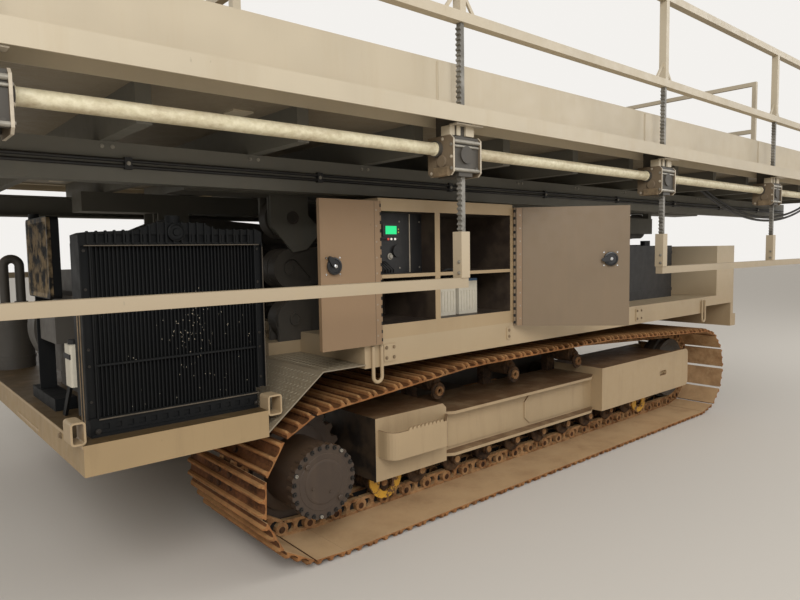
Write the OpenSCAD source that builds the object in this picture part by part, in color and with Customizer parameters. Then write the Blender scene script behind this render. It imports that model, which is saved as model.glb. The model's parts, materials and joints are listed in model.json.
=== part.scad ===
// Tracked scissor-lift work platform, stowed for travel.
// X runs along the machine, with the sprockets and the engine at -X.
// Y runs across it: the near side, with the open cabinet, is at -Y.
// Z is up from the floor. The origin is on the floor under the middle of the deck.

/* [Tracks] */
// Distance between the middles of the two tracks
track_gauge = 2500; // [2440:10:2540]
// Width of a track shoe
shoe_w = 900; // [700:10:920]
// Number of shoes on each track
shoe_count = 59; // [57:1:61]
// X of the sprocket axles
sprocket_x = -2510; // [-2540:5:-2480]
// Distance from sprocket axle to idler axle
wheelbase = 4445; // [4400:5:4480]
// Radius of the chain's pin line on sprocket and idler
pin_r = 352; // [345:1:358]
// Height of the shoe's seat above the pin line
seat_h = 40; // [36:1:44]
// Thickness of a shoe's plate
shoe_t = 10; // [8:1:12]
// Height of a grouser above its plate
grouser_h = 26; // [20:1:30]
// Depth of the link rails inside the pin line
rail_h = 50; // [45:1:55]
// Width over the two rails of a chain
chain_w = 170; // [150:5:190]
// Teeth on a sprocket
sprocket_teeth = 23; // [19:1:25]
// Width of the sprocket teeth and of the idler's flange
tooth_w = 60; // [50:2:70]
// Radius of a bottom roller's tread
roller_r = 72; // [66:1:74]
// Distance between bottom rollers
roller_pitch = 330; // [310:5:335]
// Radius of a carrier roller
carrier_r = 60; // [50:1:70]
// How far the carrier rollers lift the upper run above the line over the axles
carrier_rise = 94; // [70:2:110]
// Radius of the final drive's cover
drive_r = 205; // [190:5:220]

/* [Track frames and chassis] */
// Height of the bottom of the track frames
frame_z = 300; // [296:1:306]
// Height of the raised box at the rear of a track frame
rear_box_h = 380; // [370:5:410]
// Height of the raised box at the front of a track frame
front_box_h = 360; // [340:5:380]
// Height of the beam between the two boxes
beam_h = 300; // [280:5:320]
// Distance from the middle of the track to the frame's outer face
frame_out = 320; // [300:5:340]
// Distance from the middle of the track to the frame's inner face
frame_in = 200; // [180:5:220]
// Height of the bottom of the chassis
chassis_z = 1020; // [1015:1:1030]
// Height of the chassis side beams
side_beam_h = 150; // [140:2:150]
// Distance from the middle to the outer face of the chassis
chassis_half = 1720; // [1700:5:1730]

/* [Scissor] */
// X of the fixed pins at the sprocket end
pin_x = -2310; // [-2330:5:-2290]
// Height of the lowest pins when folded
base_pin_z = 1250; // [1245:1:1255]
// Height between pins at one end when folded
fold_h = 310; // [300:1:315]
// Distance along the machine between an arm's end pins when folded
arm_run = 4160; // [4100:10:4200]
// Depth of an arm
arm_d = 230; // [210:2:236]
// Thickness of an arm
arm_t = 80; // [60:2:90]
// Distance from the middle to the inner arms
arm_y = 868; // [840:2:880]
// Radius of the scissor pins
scissor_pin_r = 40; // [32:1:44]
// Radius of the lift cylinders' barrels
barrel_r = 70; // [60:1:75]

/* [Deck] */
// Length of the deck
deck_l = 8900; // [8700:50:9100]
// Width of the deck over its edges
deck_w = 4600; // [4560:10:4640]
// Height of the underside of the deck's main beams
deck_beam_z = 1980; // [1975:1:1990]
// Height of the deck's floor
floor_z = 2320; // [2315:1:2330]
// Height of the upstand above the floor
upstand_h = 290; // [250:5:320]

/* [Guard rails] */
// Distance from the deck's end to its last toothed rack
rack_end = 370; // [350:10:390]
// Width of a rack
rack_w = 30; // [26:1:32]
// Distance from the deck's edge in to the racks
rack_in = 80; // [70:2:90]
// Height of the lower rails
low_rail_z = 1495; // [1480:5:1510]
// Height of the middle rail
mid_rail_z = 2790; // [2770:5:2810]
// Height of the top rail
top_rail_z = 3370; // [3340:5:3400]
// Width of the rails' square tube
rail_w = 50; // [40:2:52]
// Radius of the torque shafts
shaft_r = 30; // [24:1:32]

/* [Cabinet and doors] */
// X of the cabinet's rear end
cabinet_x = -2170; // [-2200:5:-2160]
// Width of the bay behind the left door
left_bay_w = 410; // [390:5:420]
// Width of the bay behind the right door
right_bay_w = 650; // [630:5:670]
// Width of the post between the two bays
bay_post_w = 40; // [30:2:50]
// Height of the cabinet
cabinet_h = 780; // [740:5:790]
// Depth of the cabinet
cabinet_d = 500; // [440:10:520]
// Thickness of the cabinet's walls
wall_t = 20; // [12:1:25]
// Thickness of a door
door_t = 25; // [20:1:30]
// Angle at which the right door stands open, from the cabinet's face
right_door_open = 133; // [133:1:150]

/* [Engine bay] */
// X of the rear end of the rear platform
platform_x = -3710; // [-3730:5:-3700]
// Length of the rear platform
platform_l = 830; // [820:5:840]
// Height of the top of the rear platform
platform_z = 900; // [890:2:910]
// Width of the radiator
radiator_w = 830; // [800:5:840]
// Height of the radiator with its tanks
radiator_h = 900; // [880:5:910]
// Number of fins that show on the radiator
radiator_fins = 44; // [30:1:48]

/* [Hidden] */

$fn = 48;
eps = 1;
run_fit = 0.3;
seat_fit = 0.3;

paint = [0.55, 0.51, 0.43];
dark_steel = [0.22, 0.20, 0.19];
track_rust = [0.48, 0.31, 0.20];
black = [0.07, 0.07, 0.07];
chequer = [0.42, 0.40, 0.36];
galvanised = [0.52, 0.47, 0.40];

tip_h = seat_h + shoe_t + grouser_h;
axle_z = tip_h + pin_r;
idler_x = sprocket_x + wheelbase;
track_y = track_gauge / 2;
carrier_line_z = axle_z + pin_r + carrier_rise;
track_top = carrier_line_z + tip_h;
carrier_xs = [for (share = [0.25, 0.43, 0.617]) sprocket_x + share * wheelbase];

// Draws a 2-D outline in X and Z as a plate of thickness w, its middle at y = 0
module side_plate(w) {
    rotate([90, 0, 0])
        linear_extrude(w, center = true)
            children();
}

// Draws a 2-D outline in X and Z from y0 to y1
module side_slab(y0, y1) {
    translate([0, (y0 + y1) / 2, 0])
        side_plate(y1 - y0)
            children();
}

// A box from one corner to the other
module span_box(low, high) {
    translate(low)
        cube(high - low);
}

// A round bar along Y from y0 to y1
module bar_y(x, z, r, y0, y1) {
    translate([x, y1, z])
        rotate([90, 0, 0])
            cylinder(r = r, h = y1 - y0);
}

// A round bar along X from x0 to x1
module bar_x(x0, x1, y, z, r) {
    translate([x0, y, z])
        rotate([0, 90, 0])
            cylinder(r = r, h = x1 - x0);
}

// Children are drawn on the far side, at +Y, and again mirrored to the near side
module both_sides() {
    children();
    mirror([0, 1, 0])
        children();
}

// A turned piece about an axle along Y: profile columns are y and radius
module turned_y(profile) {
    rotate([-90, 0, 0])
        rotate_extrude()
            polygon([for (p = profile) [p[1], p[0]]]);
}

// Outline of a rectangle with round corners, its lower left corner at the origin
function round_rect(w, h, r) = [
    for (c = [[w - r, r, -90], [w - r, h - r, 0], [r, h - r, 90], [r, r, 180]])
        for (a = [0:22.5:90])
            [c[0], c[1]] + r * [cos(c[2] + a), sin(c[2] + a)]
];

// The chain's pin line: a bottom run, the idler, three carrier rollers and the sprocket

function unit(v) = v / norm(v);
function polar(r, a) = [r * cos(a), r * sin(a)];
function heading(v) = (atan2(v[1], v[0]) + 360) % 360;

sprocket_c = [sprocket_x, axle_z];
idler_c = [idler_x, axle_z];
first_carrier = [carrier_xs[0], carrier_line_z];
last_carrier = [carrier_xs[len(carrier_xs) - 1], carrier_line_z];

idler_leave = heading(last_carrier - idler_c) - acos(pin_r / norm(last_carrier - idler_c));
sprocket_meet = heading(first_carrier - sprocket_c) + acos(pin_r / norm(first_carrier - sprocket_c));
idler_top = idler_c + polar(pin_r, idler_leave);
sprocket_top = sprocket_c + polar(pin_r, sprocket_meet);

run_lengths = [
    wheelbase,
    (idler_leave + 90) * PI / 180 * pin_r,
    norm(last_carrier - idler_top),
    norm(first_carrier - last_carrier),
    norm(sprocket_top - first_carrier),
    (270 - sprocket_meet) * PI / 180 * pin_r
];

function total(v, i = 0) = i == len(v) ? 0 : v[i] + total(v, i + 1);
loop_length = total(run_lengths);
link_pitch = loop_length / shoe_count;

function between(a, b, s) = a + unit(b - a) * s;
function on_run(k, s) =
    k == 0 ? [sprocket_x + s, axle_z - pin_r] :
    k == 1 ? idler_c + polar(pin_r, -90 + s / pin_r * 180 / PI) :
    k == 2 ? between(idler_top, last_carrier, s) :
    k == 3 ? between(last_carrier, first_carrier, s) :
    k == 4 ? between(first_carrier, sprocket_top, s) :
    sprocket_c + polar(pin_r, sprocket_meet + s / pin_r * 180 / PI);
function along_loop(s, k = 0) =
    (s <= run_lengths[k] || k == len(run_lengths) - 1) ? on_run(k, s) : along_loop(s - run_lengths[k], k + 1);

pins = [for (i = [0:shoe_count - 1]) along_loop((i + 0.5) * link_pitch)];
function pin(i) = pins[(i + shoe_count) % shoe_count];
function outward(i) = let (u = unit(pin(i + 1) - pin(i))) [u[1], -u[0]];

// A point at height h over pin i, where the faces of its two links meet
function over_pin(i, h) =
    let (n = outward(i), b = unit(n + outward(i - 1)))
    pin(i) + b * h / (b * n);

// Outline of one shoe over its link: share of the pitch, and height above the plate
shoe_outline = [[0.02, 0], [0.10, 1], [0.17, 0], [0.43, 0], [0.50, 1], [0.57, 0], [0.83, 0], [0.90, 1]];
function shoe_points(i) = [
    for (p = shoe_outline)
        pin(i) + (pin(i + 1) - pin(i)) * p[0] + outward(i) * (seat_h + shoe_t + p[1] * grouser_h)
];

module loop_at(h) {
    polygon([for (i = [0:shoe_count - 1]) over_pin(i, h)]);
}

module shoe_ring() {
    difference() {
        polygon([for (i = [0:shoe_count - 1]) for (p = shoe_points(i)) p]);
        loop_at(seat_h);
    }
}

module link_ring() {
    difference() {
        loop_at(seat_h + shoe_t / 2);
        loop_at(-rail_h);
    }
}

wheel_pocket_r = pin_r + 10;
pocket_w = tooth_w + 12;

module track() {
    color(track_rust) {
        side_plate(shoe_w)
            shoe_ring();
        difference() {
            side_plate(chain_w)
                link_ring();
            for (c = [sprocket_c, idler_c])
                bar_y(c[0], c[1], wheel_pocket_r, -pocket_w / 2, pocket_w / 2);
        }
    }
}

module track_near() {
    translate([0, -track_y, 0])
        track();
}

module track_far() {
    translate([0, track_y, 0])
        track();
}

// Sprocket, hub motor and bolted cover

drive_out = 390;
sprocket_root_r = pin_r - 32;
tooth_step = 360 / sprocket_teeth;

module sprocket_outline() {
    // Columns: share of the tooth's step, radius
    tooth = [[-0.32, sprocket_root_r], [-0.14, pin_r + 2], [0.14, pin_r + 2], [0.32, sprocket_root_r]];
    polygon([for (i = [0:sprocket_teeth - 1]) for (p = tooth) polar(p[1], (i + p[0]) * tooth_step)]);
}

cover_bolts = 24;
cover_t = 50;

module cover_outline() {
    circle(r = drive_r - 8);
    for (i = [0:cover_bolts - 1])
        translate(polar(drive_r - 18, i * 360 / cover_bolts))
            circle(r = 18);
}

motor_r = 150;
motor_in = 330;

module final_drive() {
    translate([sprocket_x, track_y, axle_z]) {
        color(track_rust)
            side_plate(tooth_w)
                sprocket_outline();
        color(black) {
            side_slab(drive_out - cover_t, drive_out)
                cover_outline();
            turned_y([[0, 0], [0, 260], [60, 250], [80, drive_r - 12], [drive_out - cover_t + eps, drive_r - 12],
                [drive_out - cover_t + eps, 0]]);
            turned_y([[-motor_in, 0], [-motor_in, motor_r], [-120, motor_r], [-100, 240], [0, 240], [0, 0]]);
        }
    }
}

module final_drives() {
    both_sides()
        final_drive();
}

// Idlers, carrier rollers and bottom rollers

// The links lie as chords, so their inner faces come closest halfway between pins
idler_tread_r = sqrt(pow(pin_r, 2) - pow(link_pitch / 2, 2)) - rail_h - seat_fit;

module idler() {
    flange = tooth_w / 2;
    tread = chain_w / 2;
    translate([idler_x, track_y, axle_z])
            turned_y([
                [-150, 0], [-150, 60], [-100, 60], [-100, 110], [-tread, 120], [-tread + 25, idler_tread_r - 60],
                [-tread, idler_tread_r - 30], [-tread, idler_tread_r], [-flange - 4, idler_tread_r],
                [-flange, idler_tread_r + 22], [flange, idler_tread_r + 22], [flange + 4, idler_tread_r],
                [tread, idler_tread_r], [tread, idler_tread_r - 30], [tread - 25, idler_tread_r - 60],
                [tread, 120], [100, 110], [100, 60], [150, 60], [150, 0]
            ]);
}

// Yoke arms that carry the idler's axle from the end of the frame's core
module idler_yoke() {
    for (y = [-140, 110])
        side_slab(track_y + y, track_y + y + 30)
            union() {
                translate([idler_gap_x, axle_z - 60])
                    square([idler_x - idler_gap_x, 120]);
                translate([idler_x, axle_z])
                    circle(r = 75);
            }
}

module idlers() {
    color(dark_steel)
        both_sides() {
            idler();
            idler_yoke();
        }
}

// Where the chain bends its links cut the corner, so the end rollers lie lower by this much
function corner_cut(a, b) = link_pitch / 2 * sin(abs(atan((b[1] - a[1]) / (b[0] - a[0]))) / 2);
carrier_dips = [corner_cut(sprocket_top, first_carrier), 0, corner_cut(last_carrier, idler_top)];

module carrier_roller(x, dip) {
    z = carrier_line_z - rail_h - carrier_r - seat_fit - dip;
    translate([x, track_y, z])
        turned_y([
            [-140, 0], [-140, 30], [-80, 30], [-80, carrier_r], [80, carrier_r], [84, 52], [98, 47],
            [102, 36], [118, 33], [122, 26], [122, 0]
        ]);
    side = track_y - frame_in;
    foot = frame_z + beam_h;
    side_slab(side, side + 60)
        union() {
            translate([x - 50, foot])
                square([100, z - foot]);
            translate([x, z])
                circle(r = 52);
        }
}

module carrier_rollers() {
    color(dark_steel)
        both_sides()
            for (i = [0:len(carrier_xs) - 1])
                carrier_roller(carrier_xs[i], carrier_dips[i]);
}

roller_z = axle_z - pin_r + rail_h + roller_r + seat_fit;
roller_flange_r = roller_r + 16;
roller_count = 10;
roller_xs = [for (i = [0:roller_count - 1]) sprocket_x + 610 + i * roller_pitch];
roller_end = 150;

module bottom_roller(x) {
    rim = chain_w / 2 + 2;
    translate([x, track_y, roller_z])
        turned_y([
            [-roller_end, 0], [-roller_end, 32], [-rim - 18, 32], [-rim - 18, roller_flange_r - 8],
            [-rim - 10, roller_flange_r], [-rim, roller_flange_r], [-rim, roller_r], [-30, roller_r],
            [-26, roller_r - 14], [26, roller_r - 14], [30, roller_r], [rim, roller_r], [rim, roller_flange_r],
            [rim + 10, roller_flange_r], [rim + 18, roller_flange_r - 8], [rim + 18, 32], [roller_end, 32],
            [roller_end, 0]
        ]);
    for (y = [-roller_end + 10, roller_end - 30])
        translate([x - 45, track_y + y, roller_z])
            cube([90, 20, frame_z - roller_z]);
}

module bottom_rollers() {
    color(dark_steel)
        both_sides()
            for (x = roller_xs)
                bottom_roller(x);
}

// Yellow guides, half discs that keep the chain under the frame
guide_xs = [roller_xs[0], roller_xs[roller_count - 1] + 120];
guide_r = 128;
guide_bottom = axle_z - pin_r + rail_h - 14;
guide_t = 10;

module track_guides() {
    color("goldenrod")
        both_sides()
            for (x = guide_xs)
                for (y = [-roller_end - 6 - guide_t, roller_end + 6])
                    side_slab(track_y + y, track_y + y + guide_t)
                        difference() {
                            translate([x, guide_bottom + guide_r])
                                circle(r = guide_r);
                            translate([x, roller_z + 8])
                                circle(r = 52);
                            translate([x - guide_r - eps, frame_z])
                                square([2 * guide_r + 2 * eps, guide_r]);
                        }
}

// Track frames

rear_box_x0 = sprocket_x + 410;
rear_box_gap = 116;
rear_box_x1 = first_carrier[0] - rear_box_gap;
front_box_gap = 77;
front_box_x0 = last_carrier[0] + front_box_gap;
front_box_x1 = idler_x - 95;
idler_gap_x = idler_x - 380;
flange_t = 20;
web_out = frame_out - 110;
plate_t = 30;

doubler_l = 760;
step_x = rear_box_x0 + 20;
step_l = 560;
step_d = 130;
step_z = frame_z + 150;
step_h = 160;
step_skin = 10;
step_tooth = 32;

// Step: a bent band round an open top, with a toothed edge
module step_box() {
    band = function(d) [
        for (a = [180:15:270]) [step_x + 70, frame_out + step_d - 70] + (70 - d) * [cos(a), -sin(a)],
        [step_x + step_l - 120 - d / 2, frame_out + step_d - d], [step_x + step_l - d, frame_out + 20 - d]
    ];
    translate([0, 0, step_z])
        linear_extrude(step_h)
            difference() {
                polygon(concat([[step_x, frame_out - eps]], band(0), [[step_x + step_l, frame_out - eps]]));
                polygon(concat([[step_x + step_skin, frame_out - 2 * eps]], band(step_skin),
                    [[step_x + step_l - step_skin, frame_out - 2 * eps]]));
            }
    side_slab(frame_out + step_d - step_skin, frame_out + step_d)
        for (i = [0:8])
            translate([step_x + 130 + i * step_tooth, step_z + step_h])
                polygon([[0, -eps], [step_tooth - 2, -eps], [step_tooth - 10, 16], [8, 16]]);
}

module track_frame() {
    core_top = frame_z + beam_h;
    box_len = front_box_x1 - front_box_x0;
    flange_y1 = frame_out - 30;
    color(paint)
        translate([0, track_y, 0]) {
            difference() {
                union() {
                    side_slab(-frame_in, frame_out)
                        polygon([[rear_box_x0, frame_z], [rear_box_x1, frame_z], [rear_box_x1, frame_z + rear_box_h - 30],
                            [rear_box_x1 - 30, frame_z + rear_box_h], [rear_box_x0, frame_z + rear_box_h]]);
                    span_box([rear_box_x1 - eps, -frame_in, frame_z], [front_box_x0 + eps, web_out, core_top]);
                    // Flanges that run out towards the boxes
                    for (z = [frame_z, core_top - flange_t])
                        translate([0, 0, z])
                            linear_extrude(flange_t)
                                polygon([[rear_box_x1 - eps, web_out - eps], [front_box_x0 + eps, web_out - eps],
                                    [front_box_x0 + eps, web_out + 20], [front_box_x0 - 110, flange_y1],
                                    [rear_box_x1 + 110, flange_y1], [rear_box_x1 - eps, web_out + 20]]);
                    // Front box, rounded where it ends beside the idler
                    translate([front_box_x0, 0, frame_z])
                        side_slab(-frame_in, frame_out) {
                            square([box_len - 60, front_box_h]);
                            polygon([for (p = round_rect(200, front_box_h, 50)) p + [box_len - 200, 0]]);
                        }
                }
                // Room for the idler between the front box's side plates
                span_box([idler_gap_x, -frame_in + plate_t, frame_z - eps],
                    [front_box_x1 + eps, frame_out - plate_t, frame_z + front_box_h + eps]);
                // Slot window in the front box
                translate([front_box_x1 - 560, 0, frame_z + 160])
                    side_slab(frame_out - plate_t - eps, frame_out + eps)
                        polygon(round_rect(130, 45, 20));
            }
            // Doubler plates on the web
            for (x = [rear_box_x1 + 60, (rear_box_x1 + front_box_x0) / 2 + 20])
                side_slab(web_out - eps, web_out + 8)
                    polygon([[x, frame_z + 90], [x + 60, frame_z + 40], [x + doubler_l - 40, frame_z + 40],
                        [x + doubler_l, frame_z + 90], [x + doubler_l, core_top - 90], [x + doubler_l - 40, core_top - 40],
                        [x + 60, core_top - 40], [x, core_top - 90]]);
            step_box();
            // Mount of the hub motor
            side_slab(-frame_in, -frame_in + plate_t)
                difference() {
                    union() {
                        translate([sprocket_x, axle_z])
                            circle(r = 260);
                        translate([sprocket_x, frame_z])
                            square([rear_box_x0 - sprocket_x + eps, 260]);
                    }
                    translate([sprocket_x, axle_z])
                        circle(r = motor_r + seat_fit);
                }
        }
}

module track_frame_far() {
    track_frame();
}

module track_frame_near() {
    mirror([0, 1, 0])
        track_frame();
}

// Car body between the track frames, with the pedestal that carries the chassis

body_x = sprocket_x + 0.5354 * wheelbase;

module car_body() {
    reach = track_y - frame_in;
    color(dark_steel) {
        for (x = [body_x - 750, body_x + 750])
            side_plate(2 * reach)
                polygon([[x - 200, frame_z + 80], [x + 200, frame_z + 80], [x + 200, frame_z + 200],
                    [x + 120, frame_z + 290], [x - 120, frame_z + 290], [x - 200, frame_z + 200]]);
        span_box([body_x - 950, -700, frame_z + 200], [body_x + 950, 700, frame_z + 520]);
        translate([body_x, 0, frame_z + 520 - eps])
            cylinder(r = 620, h = chassis_z - frame_z - 520 + eps);
    }
}

// Chassis

chassis_x0 = sprocket_x + 230;
chassis_x1 = sprocket_x + 4350;
inner_top = chassis_z + 100;
side_beam_w = 80;
chassis_skin = 12;
pan_t = 10;
beam_top = chassis_z + side_beam_h;
roller_clear = 4;
arm_roller_r = 60;
roller_rail_w = 48;
channel_skin = 14;
rail_y0 = arm_y - roller_clear - roller_rail_w - channel_skin;
rail_y1 = arm_y + 2 * arm_t + 36;
arm_gap = 12;
lower_clevis_t = 20;
outer_arm_y = arm_y + arm_t + arm_gap;

cylinder_y = 450;
cylinder_pin_r = 25;
cylinder_base = [pin_x + 610, base_pin_z - 90];
cylinder_share = 0.75;
eye_w = 84;

// Channel that guides an arm's roller, its mouth towards -Y in local terms
module roller_channel(x0, x1, z, web_y, mouth) {
    inside = arm_roller_r + roller_clear;
    skin = channel_skin;
    y1 = web_y + mouth * roller_rail_w;
    for (s = [-1, 1])
        span_box([x0, min(web_y, y1), z + s * (inside + skin / 2) - skin / 2],
            [x1, max(web_y, y1), z + s * (inside + skin / 2) + skin / 2]);
    span_box([x0, min(web_y, web_y - mouth * skin), z - inside - skin],
        [x1, max(web_y, web_y - mouth * skin), z + inside + skin]);
}

channel_web_y = arm_y - roller_clear - roller_rail_w;
channel_back = 1450;
channel_front = 130;

module chassis_half_frame() {
    // Side beam, a channel open towards the middle
    difference() {
        span_box([chassis_x0, chassis_half - side_beam_w, chassis_z], [chassis_x1, chassis_half, beam_top]);
        span_box([chassis_x0 - eps, chassis_half - side_beam_w - eps, chassis_z + chassis_skin],
            [chassis_x1 + eps, chassis_half - 10, beam_top - chassis_skin]);
    }
    // Beam under the scissor
    span_box([chassis_x0 - 220, rail_y0, chassis_z], [chassis_x1 + 210, rail_y1, inner_top]);
    // Walkway plate between the beams
    span_box([chassis_x0, rail_y1 + 10, beam_top - chassis_skin], [chassis_x1, chassis_half - side_beam_w + eps, beam_top]);
    // End plate outside the scissor
    span_box([chassis_x0, rail_y1 + 10, chassis_z], [chassis_x0 + chassis_skin, chassis_half - 2 * eps, beam_top]);
}

module chassis_frame() {
    color(paint) {
        both_sides()
            chassis_half_frame();
        for (x = [chassis_x0, cylinder_base[0] - 200, body_x - 500, body_x + 500, chassis_x1 - 100])
            span_box([x, -chassis_half + 10 + eps, chassis_z], [x + 100, chassis_half - 10 - eps, inner_top]);
        span_box([chassis_x0, -rail_y0 - eps, chassis_z], [chassis_x1, rail_y0 + eps, chassis_z + pan_t]);
        span_box([chassis_x0, -rail_y0 - eps, chassis_z], [chassis_x0 + chassis_skin, rail_y0 + eps, inner_top]);
    }
}

// What carries the scissor: fixed clevises, roller channels and the cylinders' clevises

mount_end_r = 120;
pin_dimple_r = 30;
pin_dimple = 8;

// A round pin along Y with a dimple in its outer end
module dimpled_pin(x, z, r, y0, y1) {
    difference() {
        bar_y(x, z, r, y0, y1);
        bar_y(x, z, pin_dimple_r, y1 - pin_dimple, y1 + eps);
    }
}

module scissor_half_mounts() {
    stand_z = inner_top + seat_fit;
    channel_bottom = base_pin_z - arm_roller_r - roller_clear - channel_skin;
    for (y = [outer_arm_y - lower_clevis_t - 2, outer_arm_y + arm_t + 2])
        side_slab(y, y + lower_clevis_t)
            union() {
                translate([pin_x, base_pin_z])
                    circle(r = mount_end_r);
                translate([pin_x - mount_end_r + 6, stand_z])
                    square([2 * mount_end_r - 12, base_pin_z - stand_z]);
            }
    dimpled_pin(pin_x, base_pin_z, scissor_pin_r, outer_arm_y - lower_clevis_t - 10, outer_arm_y + arm_t + lower_clevis_t + 14);
    roller_channel(right_x - channel_back, right_x + channel_front, base_pin_z, channel_web_y, 1);
    for (x = [right_x - channel_back + 90, right_x - channel_back / 2, right_x + 50])
        span_box([x, channel_web_y - channel_skin, stand_z], [x + 60, channel_web_y + 30, channel_bottom + eps]);
    pan_top = chassis_z + pan_t + seat_fit;
    for (y = [cylinder_y - eye_w / 2 - 26, cylinder_y + eye_w / 2 + 6])
        side_slab(y, y + 20)
            union() {
                translate(cylinder_base)
                    circle(r = 55);
                translate([cylinder_base[0] - 54, pan_top])
                    square([108, cylinder_base[1] - pan_top]);
            }
    bar_y(cylinder_base[0], cylinder_base[1], cylinder_pin_r, cylinder_y - eye_w / 2 - 34, cylinder_y + eye_w / 2 + 34);
}

module scissor_mounts() {
    color(dark_steel)
        both_sides()
            scissor_half_mounts();
}

// Rear platform for the engine

platform_x1 = platform_x + platform_l;
platform_t = 130;
platform_half = chassis_half + 10;

module rear_platform() {
    base = platform_z - platform_t;
    color(paint) {
        difference() {
            span_box([platform_x, -platform_half, base], [platform_x1, platform_half, platform_z]);
            span_box([platform_x + 12, -platform_half + 60, base - eps], [platform_x1 - 60, platform_half - 60, platform_z - 10]);
        }
        // Sub-frame that joins the platform to the chassis
        for (y = [-560, 460])
            side_slab(y, y + 100)
                polygon([[platform_x + 10, base], [platform_x1 + 100, base], [chassis_x0, chassis_z - 60],
                    [chassis_x0, inner_top], [chassis_x0 - 200, inner_top], [platform_x1 + 20, platform_z - 9],
                    [platform_x + 10, platform_z - 9]]);
    }
}

module mudguards() {
    start = chassis_x0;
    tip = platform_x1;
    color(chequer)
        both_sides()
            side_slab(rail_y1 + 3, chassis_half + 10)
                polygon([[start, 1046], [start - 280, 1046], [tip, 796], [tip, 788], [start - 276, 1040], [start, 1040]]);
}

loop_xs = [chassis_x0 + 80, chassis_x1 - 40];

module tie_loops() {
    r = 10;
    w = 60;
    drop = 80;
    color(paint)
        both_sides()
            for (x = loop_xs)
                translate([x, chassis_half + r + seat_fit, 0]) {
                    for (s = [-1, 1])
                        translate([s * w / 2, 0, chassis_z - drop + w / 2])
                            cylinder(r = r, h = side_beam_h + drop - w / 2 - 30);
                    translate([0, 0, chassis_z - drop + w / 2])
                        rotate([90, 0, 0])
                            rotate_extrude(angle = -180)
                                translate([w / 2, 0])
                                    circle(r = r);
                }
}

// Sockets at the platform's corners. Columns: x, z, width, height, length, set-back of the open end
socket_wall = 8;
sockets = [[platform_x - 42, platform_z, 58, 96, 110, 15], [platform_x1, platform_z - 30, 75, 100, 84, 0]];

module receiver_tubes() {
    color(paint)
        both_sides()
            for (t = sockets)
                translate([t[0], 0, t[1]])
                    side_slab(platform_half - t[5] - t[4], platform_half - t[5])
                        difference() {
                            polygon(round_rect(t[2], t[3], 14));
                            translate([socket_wall, socket_wall])
                                polygon(round_rect(t[2] - 2 * socket_wall, t[3] - 2 * socket_wall, 7));
                        }
}

// Cabinet on the near side, and the closed tank on the far side

hinge_r = 8;
hinge_strip_t = 6;
cabinet_face = -chassis_half;
cabinet_w = left_bay_w + right_bay_w + bay_post_w + 2 * wall_t;
cabinet_x1 = cabinet_x + cabinet_w;
cabinet_z = beam_top;
shelf_z = cabinet_z + cabinet_h * 0.46;

module cabinet() {
    low = [cabinet_x, cabinet_face, cabinet_z];
    strip = [hinge_strip_t, 50 + cabinet_face - hinge_y - hinge_r - seat_fit, cabinet_h - 20];
    color(paint) {
        // Fixed leaves of the piano hinges, on the cabinet's end faces
        for (x = [cabinet_x - hinge_strip_t, cabinet_x1])
            translate([x, hinge_y + hinge_r + seat_fit, cabinet_z])
                cube(strip);
        difference() {
            span_box(low, low + [cabinet_w, cabinet_d, cabinet_h]);
            for (bay = [[wall_t, left_bay_w], [wall_t + left_bay_w + bay_post_w, right_bay_w]])
                for (z = [[cabinet_z + wall_t + 60, shelf_z - wall_t], [shelf_z, cabinet_z + cabinet_h - wall_t - 50]])
                    span_box([cabinet_x + bay[0], cabinet_face - eps, z[0]],
                        [cabinet_x + bay[0] + bay[1], cabinet_face + cabinet_d - wall_t, z[1]]);
        }
    }
}

module control_panel() {
    x0 = cabinet_x + wall_t;
    face = cabinet_face + 120;
    top = cabinet_z + cabinet_h - wall_t - 50;
    color(black) {
        span_box([x0 + run_fit, face, shelf_z + run_fit], [x0 + left_bay_w - run_fit, face + 20, top - run_fit]);
        span_box([x0 + 90, face - 12, top - 150], [x0 + 220, face + eps, top - 60]);
        bar_y(x0 + 210, shelf_z + 130, 35, face - 15, face + eps);
    }
}

module batteries() {
    x0 = cabinet_x + wall_t + left_bay_w + bay_post_w;
    base = cabinet_z + wall_t + 60;
    color("ivory")
        for (i = [0, 1])
            difference() {
                span_box([x0 + 60 + i * 200, cabinet_face + 100, base], [x0 + 230 + i * 200, cabinet_face + 420, base + 210]);
                for (k = [0:5])
                    span_box([x0 + 74 + i * 200 + k * 26, cabinet_face + 99, base + 20],
                        [x0 + 84 + i * 200 + k * 26, cabinet_face + 104, base + 150]);
            }
}

hinge_y = cabinet_face - (door_t - hinge_r) - seat_fit;
latch_r = 45;
latch_t = 14;

// A door with its hinge line at the origin, its leaf along +X and its outer face at -Y
module door_leaf(w, h, latch_in) {
    color(paint) {
        span_box([hinge_r + 4, -door_t, 0], [w, 0, h]);
        translate([0, -hinge_r, 0])
            cylinder(r = hinge_r, h = h);
        span_box([0, -hinge_r - 3, 0], [hinge_r + 4 + eps, -hinge_r + 3, h]);
    }
    color(black) {
        translate([w - latch_in, -door_t + eps, h * 0.56])
            rotate([90, 0, 0])
                cylinder(r = latch_r, h = latch_t);
        translate([w - latch_in, 12, h * 0.56])
            rotate([90, 0, 0])
                cylinder(r = latch_r, h = 12 + eps);
    }
}

door_z = cabinet_z - 20;
door_h = cabinet_h;

module door_left() {
    translate([cabinet_x - 5, hinge_y, door_z])
        rotate([0, 0, 180])
            mirror([0, 1, 0])
                translate([0, hinge_r, 0])
                    door_leaf(left_bay_w - 10, door_h, 75);
}

module door_right() {
    translate([cabinet_x1, hinge_y, door_z])
        rotate([0, 0, right_door_open - 180])
            translate([0, hinge_r, 0])
                door_leaf(right_bay_w + 85, door_h, 120);
}

tank_gap = 89;
tank_in = 301;
tank_h = 500;
tank_l = 1180;

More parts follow.
